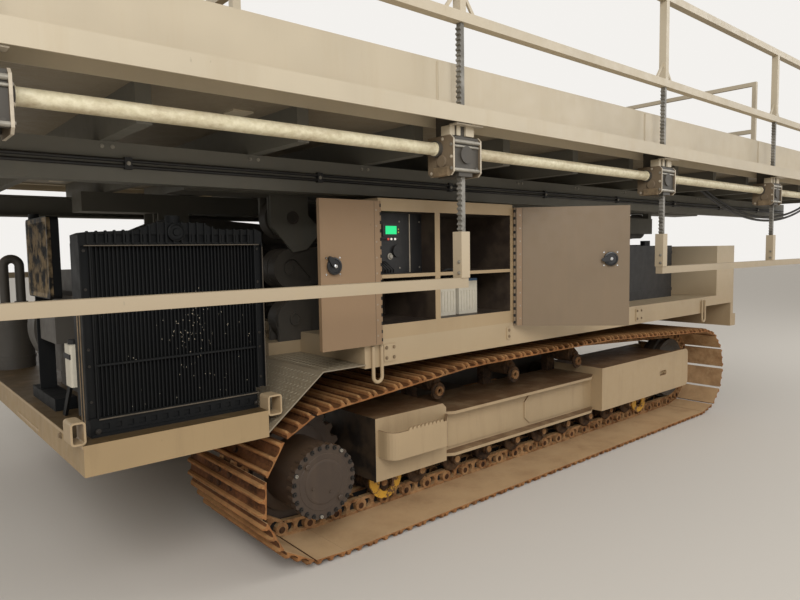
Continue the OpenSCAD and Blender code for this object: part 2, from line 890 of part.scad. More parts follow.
module hydraulic_tank() {
    x1 = chassis_x1 - 60;
    x0 = x1 - tank_l;
    y0 = outer_arm_y + arm_t + tank_gap;
    y1 = chassis_half - tank_in;
    color(black)
        mirror([0, 1, 0]) {
            side_slab(y0, y1)
                polygon([[x0, beam_top], [x1, beam_top], [x1, beam_top + tank_h], [x0 + 50, beam_top + tank_h],
                    [x0, beam_top + tank_h - 50]]);
            translate([x1 - 250, (y0 + y1) / 2, beam_top + tank_h - eps])
                cylinder(r = 45, h = 50);
            for (z = [beam_top + 60, beam_top + tank_h - 80])
                span_box([x0 - 4, y0 - 4, z], [x1 + 4, y1 + 4, z + 30]);
        }
}

module fuel_tank() {
    color(paint) {
        span_box([cabinet_x, chassis_half - cabinet_d, cabinet_z], [cabinet_x1, chassis_half, cabinet_z + cabinet_h - 40]);
        translate([cabinet_x1 - 200, chassis_half - cabinet_d / 2, cabinet_z + cabinet_h - 40 - eps])
            cylinder(r = 50, h = 35);
    }
}

module front_box() {
    x0 = chassis_x1;
    x1 = chassis_x1 + 660;
    color(paint) {
        difference() {
            span_box([x0, -chassis_half, chassis_z + 60], [x1, chassis_half, beam_top]);
            for (s = [-1, 1])
                span_box([x0 - eps, s * (rail_y0 + rail_y1) / 2 - 180, chassis_z + 59],
                    [x0 + 250, s * (rail_y0 + rail_y1) / 2 + 180, beam_top + 2]);
        }
        span_box([x1 - 60, -chassis_half, chassis_z - 180], [x1, chassis_half, beam_top + eps]);
        for (s = [-1, 1])
            span_box([x0 + 260, s * (chassis_half - 300) - 300, beam_top - eps],
                [x1, s * (chassis_half - 300) + 300, beam_top + 490]);
        span_box([x1 - eps, -chassis_half, chassis_z - 180], [x1 + 60, chassis_half, chassis_z - 60]);
    }
}

// Engine, its radiators and the pieces round them

radiator_x = platform_x + 43;
radiator_face = -platform_half + 90;
radiator_t = 130;
bottom_tank_h = 80;
top_tank_h = 100;
frame_w = 45;
fin_step = (radiator_w - 2 * frame_w) / radiator_fins;
frame_lip = 18;
frame_skin = 6;
foot_h = 100;

module engine_radiator() {
    x0 = radiator_x;
    x1 = radiator_x + radiator_w;
    y0 = radiator_face;
    y1 = radiator_face + radiator_t;
    foot_x0 = x0 + 12;
    foot_x1 = platform_x1 - 5;
    core_top = platform_z + radiator_h - top_tank_h;
    core_z = platform_z + bottom_tank_h;
    fin_x0 = x0 + frame_w;
    seam_z = core_z + 0.3 * (core_top - core_z);
    color(black) {
        // Side channels with their lips towards the near side
        for (c = [[x0, core_z], [x1 - frame_w, platform_z + foot_h]])
            translate([c[0], 0, c[1] - eps])
                linear_extrude(core_top + 12 - c[1])
                    polygon([[0, y0], [frame_skin, y0], [frame_skin, y0 + frame_lip], [frame_w - frame_skin, y0 + frame_lip],
                        [frame_w - frame_skin, y0], [frame_w, y0], [frame_w, y1], [0, y1]]);
        // Core with its fins
        translate([0, 0, core_z - eps])
            linear_extrude(core_top - core_z + 2 * eps)
                polygon(concat(
                    [[fin_x0 - eps, y1 - 20], [fin_x0 - eps, y0 + 34]],
                    [for (i = [0:radiator_fins - 1]) for (p = [[0.35, 34], [0.35, 16], [0.65, 16], [0.65, 34]])
                        [fin_x0 + (i + p[0]) * fin_step, y0 + p[1]]],
                    [[x1 - frame_w + eps, y0 + 34], [x1 - frame_w + eps, y1 - 20]]));
        span_box([fin_x0 - eps, y0 + 10, seam_z], [x1 - frame_w + eps, y0 + 40, seam_z + 9]);
        // Bottom tank with a row of pockets
        difference() {
            span_box([foot_x0, y0 + 8, platform_z], [foot_x1, y1 - 8, core_z]);
            for (i = [0:13])
                span_box([foot_x0 + 50 + i * 50, y0 + 7, core_z - 52], [foot_x0 + 76 + i * 50, y0 + 14, core_z - 28]);
        }
        span_box([foot_x0, y0, platform_z], [foot_x1, y0 + 30, platform_z + 14]);
        // Top tank with its bulge, ribs and filler neck
        difference() {
            side_slab(y0 + 5, y1 - 5)
                polygon([[x0, core_top], [x1, core_top], [x1, core_top + 60], [x1 - 25, core_top + 72],
                    [x0 + 0.72 * radiator_w, core_top + 72], [x0 + 0.64 * radiator_w, core_top + top_tank_h],
                    [x0 + 0.38 * radiator_w, core_top + top_tank_h], [x0 + 0.28 * radiator_w, core_top + 66],
                    [x0 + 25, core_top + 56], [x0, core_top + 46]]);
            for (i = [0:9])
                span_box([x0 + 60 + i * 72, y0 + 4, core_top + 14], [x0 + 118 + i * 72, y0 + 14, core_top + 48]);
        }
        translate([x0 + radiator_w / 2, y0 + radiator_t / 2, core_top + top_tank_h - eps])
            cylinder(r = 32, h = 35);
    }
}

cooler_x = platform_x + 69;
cooler_t = 54;
cooler_y0 = radiator_face + 645;
cooler_w = 473;
cooler_z0 = platform_z + 550;
cooler_h = 405;
cooler_post_y = cooler_y0 + 0.7 * cooler_w;
stay_run = 392;
stay_rise = 505;
stay_half = 23;
stay_in = 29;

module rear_cooler() {
    color(black) {
        // Matrix in its frame, standing on a post and a foot beam
        translate([cooler_x, cooler_y0, cooler_z0])
            rotate([90, 0, 90])
                difference() {
                    linear_extrude(cooler_t)
                        polygon(round_rect(cooler_w, cooler_h, 24));
                    for (i = [0:15])
                        translate([34 + i * 26, 26, -eps])
                            cube([14, cooler_h - 52, 9]);
                }
        translate([cooler_x + cooler_t / 2, cooler_y0 + 400, cooler_z0 + cooler_h - eps])
            cylinder(r = 26, h = 30);
        span_box([cooler_x, cooler_post_y, platform_z + 59], [cooler_x + 80, cooler_post_y + 12, cooler_z0 + eps]);
        span_box([cooler_x - 10, cooler_y0 - 20, platform_z], [cooler_x + 90, cooler_y0 + cooler_w, platform_z + 60]);
        // Stay from the platform to the back of the radiator's side channel, beside the bottle
        translate([radiator_x + stay_in, radiator_face + radiator_t, platform_z])
            rotate([90, 0, 90])
                linear_extrude(12)
                    polygon([[stay_run - stay_half, 0], [stay_run + stay_half, 0],
                        [-eps, stay_rise * (stay_run + stay_half) / stay_run],
                        [-eps, stay_rise * (stay_run - stay_half) / stay_run]]);
    }
}

module radiators() {
    engine_radiator();
    rear_cooler();
}

engine_x = platform_x + 130;
pump_end = 1900;
cleaner_r = 140;
cleaner_x = platform_x + 160;
cleaner_y = radiator_face + radiator_t + pump_end + cleaner_r + 100;
cleaner_h = 370;
hose_r = 30;
hose_gap = 48;
hose_h = 375;

module engine() {
    shroud = radiator_face + radiator_t;
    mid = engine_x + 300;
    block_y0 = shroud + 259;
    head_y1 = shroud + 1250;
    color(dark_steel) {
        // Fan shroud behind the radiator
        span_box([radiator_x + 60, shroud + run_fit, platform_z + 120], [radiator_x + radiator_w - 60, shroud + 110, platform_z + 740]);
        bar_y(mid, platform_z + 430, 120, shroud + 109, shroud + 260);
        // Block, sump, head and valve covers
        span_box([mid - 260, block_y0, platform_z + 140], [mid + 260, shroud + 1300, platform_z + 560]);
        span_box([mid - 170, shroud + 300, platform_z], [mid + 170, head_y1, platform_z + 141]);
        span_box([mid - 150, shroud + 300, platform_z + 559], [mid + 190, head_y1, platform_z + 680]);
        for (i = [0:2])
            translate([mid - 70, shroud + 320 + i * 310, platform_z + 679])
                rotate([90, 0, 180])
                    mirror([1, 0, 0])
                        linear_extrude(280)
                            polygon([[0, 0], [180, 0], [180, 60], [150, 100], [30, 100], [0, 60]]);
        // Exhaust manifold with its stubs, and the silencer over it
        bar_y(mid + 262, platform_z + 640, 42, shroud + 340, shroud + 1200);
        for (i = [0:5])
            bar_x(mid + 180, mid + 262, shroud + 400 + i * 150, platform_z + 640, 30);
        bar_y(mid + 262, platform_z + 790, 85, shroud + 500, shroud + 1050);
        translate([mid + 262, shroud + 760, platform_z + 640])
            cylinder(r = 36, h = 100);
        // Alternator, filters and injection pump on the block's sides
        bar_y(mid + 320, platform_z + 420, 75, shroud + 270, shroud + 470);
        span_box([mid + 240, shroud + 300, platform_z + 395], [mid + 330, shroud + 440, platform_z + 445]);
        for (y = [shroud + 720, shroud + 860])
            translate([mid + 310, y, platform_z + 250])
                cylinder(r = 52, h = 200);
        span_box([mid + 250, shroud + 690, platform_z + 440], [mid + 350, shroud + 890, platform_z + 500]);
        span_box([mid - 350, shroud + 500, platform_z + 330], [mid - 259, cooler_post_y - 20, platform_z + 470]);
        // Flywheel housing and hydraulic pump
        bar_y(mid, platform_z + 330, 290, shroud + 1299, shroud + 1480);
        bar_y(mid, platform_z + 330, 130, shroud + 1479, shroud + pump_end);
        bar_y(mid, platform_z + 330, 165, shroud + 1640, shroud + 1670);
    }
}

module air_cleaner() {
    color(dark_steel)
        translate([cleaner_x, cleaner_y, platform_z]) {
            cylinder(r = cleaner_r, h = cleaner_h - 30);
            translate([0, 0, cleaner_h - 30])
                cylinder(r1 = cleaner_r, r2 = cleaner_r - 30, h = 30);
            for (z = [60, cleaner_h - 90])
                translate([0, 0, z])
                    cylinder(r = cleaner_r + 5, h = 24);
            // Hose in a bow over the lid, with a ribbed boot on one foot
            translate([25, 0, cleaner_h]) {
                for (s = [-1, 1])
                    translate([s * hose_gap, 0, 0])
                        cylinder(r = hose_r, h = hose_h - hose_gap);
                translate([0, 0, hose_h - hose_gap])
                    rotate([90, 0, 0])
                        rotate_extrude(angle = 180)
                            translate([hose_gap, 0])
                                circle(r = hose_r);
                for (i = [0:4])
                    translate([hose_gap, 0, i * 18])
                        cylinder(r = hose_r + 12, h = 10);
            }
        }
}

module expansion_bottle() {
    color("wheat")
        translate([radiator_x - 22, radiator_face + radiator_t + seat_fit, platform_z + 200])
            linear_extrude(182)
                polygon(round_rect(45, 95, 10));
}

// Scissor: two stages of outer and inner arms on each side, folded flat

arm_angle = atan2(fold_h, arm_run);
arm_length = norm([arm_run, fold_h]);
arm_end_r = arm_d / 2 + 8;
knuckle_z = base_pin_z + fold_h;
top_pin_z = base_pin_z + 2 * fold_h;
right_x = pin_x + arm_run;

// One arm as a plate of outline, from its left end rising to the right when up = 1
module arm_outline() {
    translate([0, -arm_d / 2])
        square([arm_length, arm_d]);
    for (s = [0, 1])
        translate([s * arm_length, 0])
            circle(r = arm_end_r);
    translate([arm_length / 2, 0])
        circle(r = arm_end_r);
}

// bores: columns are share of the length and radius
module arm(z, up, y, bores) {
    translate([pin_x, y + arm_t / 2, z])
        rotate([0, -up * arm_angle, 0])
            side_plate(arm_t)
                difference() {
                    arm_outline();
                    for (b = bores)
                        translate([b[0] * arm_length, 0])
                            circle(r = b[1]);
                }
}

bore_r = scissor_pin_r + run_fit;
cross_shaft_r = 30;
lug_drop = 140;
shaft_at = [pin_x + cylinder_share * arm_run, base_pin_z + cylinder_share * fold_h];
eye_at = shaft_at + lug_drop * [sin(arm_angle), -cos(arm_angle)];
open_pin_r = scissor_pin_r - 5;
inner_end = arm_y - 6;
top_plate_y = outer_arm_y + arm_t + 10;
top_plate_t = 16;
pair_mid_z1 = base_pin_z + fold_h / 2;
pair_mid_z2 = knuckle_z + fold_h / 2;
mid_x = pin_x + arm_run / 2;

cap_r = 62;
cap_t = 6;
knuckle_recess = 25;

// Round cap plate over a pin, on an outer arm's outer face
module pin_cap(x, z) {
    bar_y(x, z, cap_r, outer_arm_y + arm_t - eps, outer_arm_y + arm_t + cap_t);
}

// Recess round the knuckle's pin, with a tail down to the right
module teardrop() {
    translate([pin_x, knuckle_z]) {
        circle(r = 60);
        polygon([[-16, -58], [124, -86], [140, -70], [136, -56], [42, 42]]);
        translate([127, -72])
            circle(r = 15);
    }
}

module lug_outline() {
    difference() {
        union() {
            for (c = [shaft_at, eye_at])
                translate(c)
                    circle(r = 55);
            translate(shaft_at)
                rotate(arm_angle)
                    translate([-45, -lug_drop])
                        square([90, lug_drop]);
        }
        translate(eye_at)
            circle(r = cylinder_pin_r);
    }
}

module arms_lower_outer() {
    color(dark_steel) {
        both_sides() {
            arm(base_pin_z, 1, outer_arm_y, [[0, bore_r]]);
            bar_y(mid_x, pair_mid_z1, scissor_pin_r, inner_end, outer_arm_y + eps);
            bar_y(right_x, knuckle_z, open_pin_r, inner_end, outer_arm_y + eps);
            pin_cap(mid_x, pair_mid_z1);
            pin_cap(right_x, knuckle_z);
        }
        // Cross shaft with the lugs that the lift cylinders push
        bar_y(shaft_at[0], shaft_at[1], cross_shaft_r, -outer_arm_y - eps, outer_arm_y + eps);
        for (side = [-1, 1])
            for (y = [-eye_w / 2 - 26, eye_w / 2 + 6])
                side_slab(side * cylinder_y + y, side * cylinder_y + y + 20)
                    lug_outline();
    }
}

module arms_lower_inner() {
    color(dark_steel) {
        both_sides() {
            arm(knuckle_z, -1, arm_y, [[0.5, bore_r]]);
            dimpled_pin(pin_x, knuckle_z, scissor_pin_r, arm_y + arm_t - eps, outer_arm_y + arm_t - knuckle_recess + 6);
            bar_y(right_x, base_pin_z, arm_roller_r, channel_web_y + roller_clear, arm_y + eps);
        }
        bar_y(pin_x + 0.22 * arm_run, knuckle_z - 0.22 * fold_h, 70, -arm_y - eps, arm_y + eps);
    }
}

module arms_upper_outer() {
    color(dark_steel)
        both_sides() {
            difference() {
                arm(knuckle_z, 1, outer_arm_y, [[0, bore_r]]);
                side_slab(outer_arm_y + arm_t - knuckle_recess, outer_arm_y + arm_t + eps)
                    teardrop();
            }
            bar_y(mid_x, pair_mid_z2, scissor_pin_r, inner_end, outer_arm_y + eps);
            bar_y(right_x, top_pin_z, arm_roller_r, outer_arm_y + arm_t - eps, outer_arm_y + arm_t + roller_rail_w);
            pin_cap(mid_x, pair_mid_z2);
        }
}

module arms_upper_inner() {
    color(dark_steel) {
        both_sides() {
            arm(top_pin_z, -1, arm_y, [[0.5, bore_r], [1, scissor_pin_r]]);
            dimpled_pin(pin_x, top_pin_z, scissor_pin_r, inner_end - 30, top_plate_y + top_plate_t + 6);
        }
        bar_y(pin_x + 0.22 * arm_run, top_pin_z - 0.22 * fold_h, 70, -arm_y - eps, arm_y + eps);
    }
}

// Lift cylinders

cylinder_run = norm(eye_at - cylinder_base);
cylinder_tilt = atan2(eye_at[1] - cylinder_base[1], eye_at[0] - cylinder_base[0]);
barrel_l = 1950;
rod_r = 38;

module along_cylinder(y) {
    translate([cylinder_base[0], y, cylinder_base[1]])
        rotate([0, -cylinder_tilt, 0])
            children();
}

module lift_barrels() {
    color(dark_steel)
        both_sides()
            along_cylinder(cylinder_y)
                difference() {
                    union() {
                        bar_x(64, barrel_l, 0, 0, barrel_r);
                        bar_y(0, 0, 52, -eye_w / 2, eye_w / 2);
                        span_box([0, -eye_w / 2, -45], [70, eye_w / 2, 45]);
                    }
                    bar_y(0, 0, cylinder_pin_r + run_fit, -eye_w, eye_w);
                    bar_x(200, barrel_l + eps, 0, 0, rod_r + run_fit);
                }
}

module lift_rods() {
    color("silver")
        both_sides()
            along_cylinder(cylinder_y)
                difference() {
                    union() {
                        bar_x(barrel_l - 900, cylinder_run - 50, 0, 0, rod_r);
                        bar_y(cylinder_run, 0, 58, -eye_w / 2, eye_w / 2);
                        span_box([cylinder_run - 70, -eye_w / 2, -36], [cylinder_run, eye_w / 2, 36]);
                    }
                    bar_y(cylinder_run, 0, cylinder_pin_r + run_fit, -eye_w, eye_w);
                }
}

// Deck

deck_half = deck_w / 2;
deck_x = deck_l / 2;
main_beam_y = 1420;
main_beam_w = 100;
beam_top_z = 2150;
cross_count = 13;
cross_step = (deck_l - 500) / (cross_count - 1);
cross_left = -deck_x + 220;
edge_z = 2270;
edge_h = 80;
edge_lip = 120;
edge_skin = 8;
upstand_y = deck_half - 200;
inner_beam_z = top_pin_z + arm_end_r + 8;
deck_clevis_t = 20;
floor_t = 10;

// Lower corners of the outer plate on the top pins, as x and z from the pin's middle
top_plate_corners = [[-150, -45], [0, -210], [97, -194], [226, -60], [158, -30], [112, 17]];

module deck_half_frame() {
    // Main beam, a channel with its mouth towards the middle
    difference() {
        span_box([-deck_x + 10, main_beam_y, deck_beam_z], [deck_x - 10, main_beam_y + main_beam_w, beam_top_z]);
        span_box([-deck_x, main_beam_y - eps, deck_beam_z + 14], [deck_x, main_beam_y + main_beam_w - 12, beam_top_z - 14]);
    }
    // Beam over the scissor
    span_box([-3000, arm_y - deck_clevis_t - 2, inner_beam_z],
        [3000, outer_arm_y + arm_t + roller_rail_w + 22, beam_top_z]);
    // Bracket of the top pins
    for (y = [arm_y - deck_clevis_t - 2, outer_arm_y - arm_gap + 2])
        side_slab(y, y + deck_clevis_t)
            difference() {
                union() {
                    translate([pin_x, top_pin_z])
                        circle(r = 110);
                    translate([pin_x - 110, top_pin_z])
                        square([260, beam_top_z - top_pin_z]);
                }
                translate([pin_x, top_pin_z])
                    circle(r = bore_r);
            }
    // Outer plate on the top pins, running down to the right
    side_slab(top_plate_y, top_plate_y + top_plate_t)
        translate([pin_x, top_pin_z])
            difference() {
                polygon(concat([[-150, beam_top_z - top_pin_z]], top_plate_corners, [[110, beam_top_z - top_pin_z]]));
                circle(r = bore_r);
            }
    // Roller channel
    roller_channel(right_x - channel_back, right_x + channel_front, top_pin_z, outer_arm_y + arm_t + roller_clear + roller_rail_w, -1);
    for (x = [right_x - channel_back + 90, right_x - channel_back / 2, right_x + 50])
        span_box([x, outer_arm_y + arm_t + 4, top_pin_z + arm_roller_r + roller_clear + 14 - eps],
            [x + 60, outer_arm_y + arm_t + roller_rail_w + 18, beam_top_z]);
}

module deck_beams() {
    color(dark_steel)
        both_sides()
            deck_half_frame();
}

// Two hard pipes clipped to the near main beam, and two hoses in a bow between cross members

pipe_r = 8;
pipe_zs = [2047, 2072];
pipe_clip_xs = [for (i = [-1:6]) -2420 + i * 1000];
hose_d = 24;
hose_y = -1800;
hose_low = [3020, 1955];
hose_drop = 35;
hose_bend_r = 4633;
fitting_x = cross_left + 8 * cross_step + 60 + seat_fit;
fitting_l = 30;
hose_x0 = fitting_x + fitting_l + seat_fit;
clip_x = cross_left + 12 * cross_step + 15;
hose_x1 = clip_x - seat_fit;
hose_rings = 24;
hose_sides = 8;

function hose_z(x) = hose_low[1] + hose_bend_r - sqrt(pow(hose_bend_r, 2) - pow(x - hose_low[0], 2));

// A bow of hose whose rings all stand upright, so its ends meet the fitting and the clip flat
module hose(drop) {
    polyhedron(
        [for (i = [0:hose_rings]) let (x = hose_x0 + (hose_x1 - hose_x0) * i / hose_rings)
            for (k = [0:hose_sides - 1])
                [x, hose_y, hose_z(x) - drop] + hose_d / 2 * [0, cos(k * 360 / hose_sides), sin(k * 360 / hose_sides)]],
        concat(
            [[for (k = [0:hose_sides - 1]) k]],
            [for (i = [0:hose_rings - 1]) for (k = [0:hose_sides - 1])
                let (a = i * hose_sides, b = a + hose_sides, n = (k + 1) % hose_sides)
                [a + k, b + k, b + n, a + n]],
            [[for (k = [hose_sides - 1:-1:0]) hose_rings * hose_sides + k]]));
}

module deck_lines() {
    face = -main_beam_y - main_beam_w;
    color(black) {
        for (z = pipe_zs)
            bar_x(-deck_x + 60, deck_x - 60, face - pipe_r - 2, z, pipe_r);
        for (x = pipe_clip_xs)
            span_box([x - 16, face - 2 * pipe_r - 5, pipe_zs[0] - 13], [x + 16, face - seat_fit, pipe_zs[1] + 14]);
        for (drop = [0, hose_drop]) {
            hose(drop);
            bar_x(fitting_x, fitting_x + fitting_l, hose_y, hose_z(hose_x0) - drop, hose_d / 2 + 4);
        }
        // Clip under the last cross member
        span_box([clip_x, hose_y - 20, hose_z(clip_x) - hose_drop - 20], [clip_x + 30, hose_y + 20, beam_top_z - seat_fit]);
    }
}

module deck_cross_members() {
    reach = upstand_y - edge_lip;
    color(dark_steel)
        for (i = [0:cross_count - 1])
            translate([cross_left + i * cross_step, -reach, beam_top_z])
                cube([60, 2 * reach, floor_z - beam_top_z - floor_t]);
}

module deck_floor() {
    hole = guard_t / 2 + seat_fit;
    color(chequer)
        difference() {
            span_box([-deck_x + 10, -upstand_y + 10, floor_z - floor_t], [deck_x - 10, upstand_y - 10, floor_z]);
            for (x = [-guard_x, guard_x])
                for (y = guard_post_ys)
                    span_box([x - hole, y - hole, floor_z - floor_t - eps], [x + hole, y + hole, floor_z + eps]);
        }
}

rack_pitch = (deck_l - 2 * rack_end) / 4;
rack_xs = [for (i = [-2:2]) i * rack_pitch];
rack_y = deck_half - rack_in;
rack_hole = rack_w + 12;

module deck_edges() {
    skin = edge_skin;
    top = floor_z + upstand_h;
    color(paint)
        both_sides()
            difference() {
                translate([-deck_x, 0, 0])
                    rotate([90, 0, 90])
                        linear_extrude(deck_l)
                            polygon([
                                [deck_half, edge_z], [deck_half, edge_z + edge_h], [upstand_y + skin, edge_z + edge_h],
                                [upstand_y + skin, top], [upstand_y - 60, top], [upstand_y - 60, top - skin],
                                [upstand_y, top - skin], [upstand_y, floor_z - 10], [upstand_y - edge_lip, floor_z - 10],
                                [upstand_y - edge_lip, floor_z - 18], [upstand_y, floor_z - 18], [upstand_y, edge_z],
                                [upstand_y + skin, edge_z], [upstand_y + skin, edge_z + edge_h - skin],
                                [deck_half - skin, edge_z + edge_h - skin], [deck_half - skin, edge_z]
                            ]);
                for (x = rack_xs)
                    span_box([x - rack_hole / 2, rack_y - rack_hole / 2, edge_z - 10],
                        [x + rack_hole / 2, rack_y + rack_hole / 2, edge_z + edge_h + 10]);
            }
}

gearbox_w = 180;
gearbox_z = 2020;
gearbox_top = 2210;
gearbox_plate = 12;
shaft_y = rack_y - rack_w / 2 - shaft_r - 18;
shaft_z = 2155;
gearbox_y0 = shaft_y - shaft_r - 20;
gearbox_y1 = rack_y + rack_w / 2 + 20;

module gearbox(x) {
    guide = rack_w / 2 + seat_fit;
    half = gearbox_w / 2;
    difference() {
        union() {
            // Two plates on spacers, with the guide block between them
            for (y = [gearbox_y0, gearbox_y1 - gearbox_plate])
                span_box([x - half, y, gearbox_z + 20], [x + half, y + gearbox_plate, gearbox_top]);
            for (dx = [-half + 18, half - 18])
                for (z = [gearbox_z + 38, gearbox_top - 18])
                    bar_y(x + dx, z, 9, gearbox_y0 - 8, gearbox_y1 + 8);
            span_box([x - 48, gearbox_y0 + eps, gearbox_z], [x + 48, gearbox_y1 - eps, gearbox_top]);
            bar_y(x, shaft_z - 30, 42, gearbox_y1 - eps, gearbox_y1 + 10);
            span_box([x - 60, upstand_y + edge_skin + seat_fit, gearbox_top - eps],
                [x + 60, gearbox_y1 - 10, edge_z + edge_h - edge_skin]);
            bar_x(x - half - 30, x + half + 30, shaft_y, shaft_z, shaft_r + 10);
        }
        span_box([x - guide, rack_y - guide, gearbox_z - eps], [x + guide, rack_y + guide, edge_z + edge_h]);
        bar_x(x - gearbox_w, x + gearbox_w, shaft_y, shaft_z, shaft_r + run_fit);
    }
}

module gearboxes() {
    color(dark_steel)
        both_sides()
            for (x = rack_xs)
                gearbox(x);
}

module torque_shaft() {
    color(galvanised)
        bar_x(rack_xs[0] - gearbox_w / 2 - 20, rack_xs[4] + gearbox_w / 2 + 20, shaft_y, shaft_z, shaft_r);
}

module torque_shaft_far() {
    torque_shaft();
}

module torque_shaft_near() {
    mirror([0, 1, 0])
        torque_shaft();
}

// Rising guard of one side

sleeve_w = 60;
sleeve_top = 1750;
rail_x = deck_x - 50;
tooth_pitch = 25;

module guard_rails() {
    half = rail_w / 2;
    color(paint) {
        for (z = [mid_rail_z, top_rail_z])
            span_box([-rail_x, rack_y - half, z - half], [rail_x, rack_y + half, z + half]);
        // Lower rails, with a gap for the cabinet doors
        for (ends = [[-rail_x, rack_xs[1] + half], [rack_xs[2] - half, rail_x]])
            span_box([ends[0], rack_y - half, low_rail_z - half], [ends[1], rack_y + half, low_rail_z + half]);
    }
}

module guard_posts() {
    half = rail_w / 2;
    foot = low_rail_z + half;
    teeth = floor((mid_rail_z - half - sleeve_top) / tooth_pitch);
    for (x = rack_xs) {
        color(dark_steel)
            side_slab(rack_y - rack_w / 2, rack_y + rack_w / 2)
                polygon(concat(
                    [[x + rack_w / 2, sleeve_top - eps], [x + rack_w / 2, mid_rail_z - half],
                        [x - rack_w / 2 + 8, mid_rail_z - half]],
                    [for (i = [teeth - 1:-1:0]) for (p = [[8, 0.9], [0, 0.7], [0, 0.4], [8, 0.2]])
                        [x - rack_w / 2 + p[0], sleeve_top + (i + p[1]) * tooth_pitch]],
                    [[x - rack_w / 2 + 8, sleeve_top - eps]]));
        color(paint) {
            span_box([x - sleeve_w / 2, rack_y - sleeve_w / 2, foot], [x + sleeve_w / 2, rack_y + sleeve_w / 2, sleeve_top]);
            span_box([x - 20, rack_y - half, mid_rail_z + half], [x + 20, rack_y + half, top_rail_z - half]);
            // Short braces beside the upper post
            side_slab(rack_y - 6, rack_y + 6)
                for (s = [-1, 1])
                    translate([x, mid_rail_z + half])
                        polygon([[s * 19, 90], [s * 19, 116], [s * 110, 0], [s * 88, 0]]);
        }
    }
}

module guard_rails_far() {
    guard_rails();
}

module guard_rails_near() {
    mirror([0, 1, 0])
        guard_rails();
}

module guard_posts_far() {
    guard_posts();
}

module guard_posts_near() {
    mirror([0, 1, 0])
        guard_posts();
}

guard_x = 2970;
guard_half = 1720;

guard_t = 40;
guard_post_ys = [-guard_half + guard_t / 2, 0, guard_half - guard_t / 2];
guard_foot_t = 8;
guard_mid_z = 2860;
guard_top_z = top_rail_z - 20;

module end_guard_rails() {
    color(paint)
        for (x = [-guard_x, guard_x])
            for (z = [guard_mid_z, guard_top_z])
                span_box([x - guard_t / 2, -guard_half, z - guard_t / 2], [x + guard_t / 2, guard_half, z + guard_t / 2]);
}

module end_guard_posts() {
    half = guard_t / 2;
    foot_z = floor_z - floor_t - seat_fit;
    color(paint)
        for (x = [-guard_x, guard_x])
            for (y = guard_post_ys) {
                for (z = [[foot_z - eps, guard_mid_z - half], [guard_mid_z + half, guard_top_z - half]])
                    span_box([x - half, y - half, z[0]], [x + half, y + half, z[1]]);
                span_box([x - 50, y - 50, foot_z - guard_foot_t], [x + 50, y + 50, foot_z]);
            }
}

track_near();
track_far();
track_frame_near();
track_frame_far();
car_body();
final_drives();
idlers();
carrier_rollers();
bottom_rollers();
track_guides();
chassis_frame();
scissor_mounts();
rear_platform();
mudguards();
tie_loops();
receiver_tubes();
cabinet();
control_panel();
batteries();
door_left();
door_right();
radiators();
engine();
air_cleaner();
expansion_bottle();
hydraulic_tank();
fuel_tank();
front_box();
arms_lower_outer();
arms_lower_inner();
arms_upper_outer();
arms_upper_inner();
lift_barrels();
lift_rods();
deck_beams();
deck_lines();
deck_cross_members();
deck_floor();
deck_edges();
gearboxes();
guard_rails_near();
guard_posts_near();
guard_rails_far();
guard_posts_far();
torque_shaft_near();
torque_shaft_far();
end_guard_rails();
end_guard_posts();
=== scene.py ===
"""The looks of a tracked scissor-lift work platform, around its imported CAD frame."""

import json
import math
import random

import bmesh
import bpy
from mathutils import Matrix, Vector


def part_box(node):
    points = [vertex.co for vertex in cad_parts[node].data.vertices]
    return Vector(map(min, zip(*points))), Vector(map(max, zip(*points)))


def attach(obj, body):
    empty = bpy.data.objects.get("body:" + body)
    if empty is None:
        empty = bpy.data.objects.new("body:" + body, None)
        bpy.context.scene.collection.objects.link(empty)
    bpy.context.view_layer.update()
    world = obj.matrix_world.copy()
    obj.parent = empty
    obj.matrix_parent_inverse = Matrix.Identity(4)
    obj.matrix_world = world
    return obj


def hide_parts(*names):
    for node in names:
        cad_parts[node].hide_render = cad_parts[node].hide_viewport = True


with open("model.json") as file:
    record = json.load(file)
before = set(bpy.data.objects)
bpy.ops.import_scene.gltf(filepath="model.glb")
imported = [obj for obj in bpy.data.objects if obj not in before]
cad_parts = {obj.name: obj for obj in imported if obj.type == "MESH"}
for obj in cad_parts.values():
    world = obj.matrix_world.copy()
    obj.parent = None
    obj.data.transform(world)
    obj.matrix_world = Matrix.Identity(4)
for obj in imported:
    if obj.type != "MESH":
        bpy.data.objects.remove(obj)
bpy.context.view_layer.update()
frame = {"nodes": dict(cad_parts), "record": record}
record_nodes = frame["nodes"]

# Photograph's camera

CAMERA_AT = Vector((-4.38, -4.46, 1.66))
CAMERA_YAW = math.radians(49.28)
CAMERA_DOWN = math.radians(4.40)
CAMERA_ROLL = math.radians(0.90)
FOCAL_SHARE = 640.2 / 800


def make_camera():
    """A camera at the photograph's place, yaw measured from +X towards +Y."""
    ahead = Vector((math.cos(CAMERA_YAW) * math.cos(CAMERA_DOWN),
                    math.sin(CAMERA_YAW) * math.cos(CAMERA_DOWN), -math.sin(CAMERA_DOWN)))
    right = Vector((math.sin(CAMERA_YAW), -math.cos(CAMERA_YAW), 0))
    down = ahead.cross(right)
    image_x = math.cos(CAMERA_ROLL) * right + math.sin(CAMERA_ROLL) * down
    image_y = -math.sin(CAMERA_ROLL) * right + math.cos(CAMERA_ROLL) * down
    data = bpy.data.cameras.new("photo_camera")
    data.sensor_width = 36
    data.lens = FOCAL_SHARE * data.sensor_width
    data.clip_end = 200
    cam = bpy.data.objects.new("photo_camera", data)
    turn = Matrix((image_x, -image_y, -ahead)).transposed()
    cam.matrix_world = Matrix.Translation(CAMERA_AT) @ turn.to_4x4()
    bpy.context.scene.collection.objects.link(cam)
    bpy.context.scene.camera = cam


make_camera()

# Materials

MATERIALS = {}


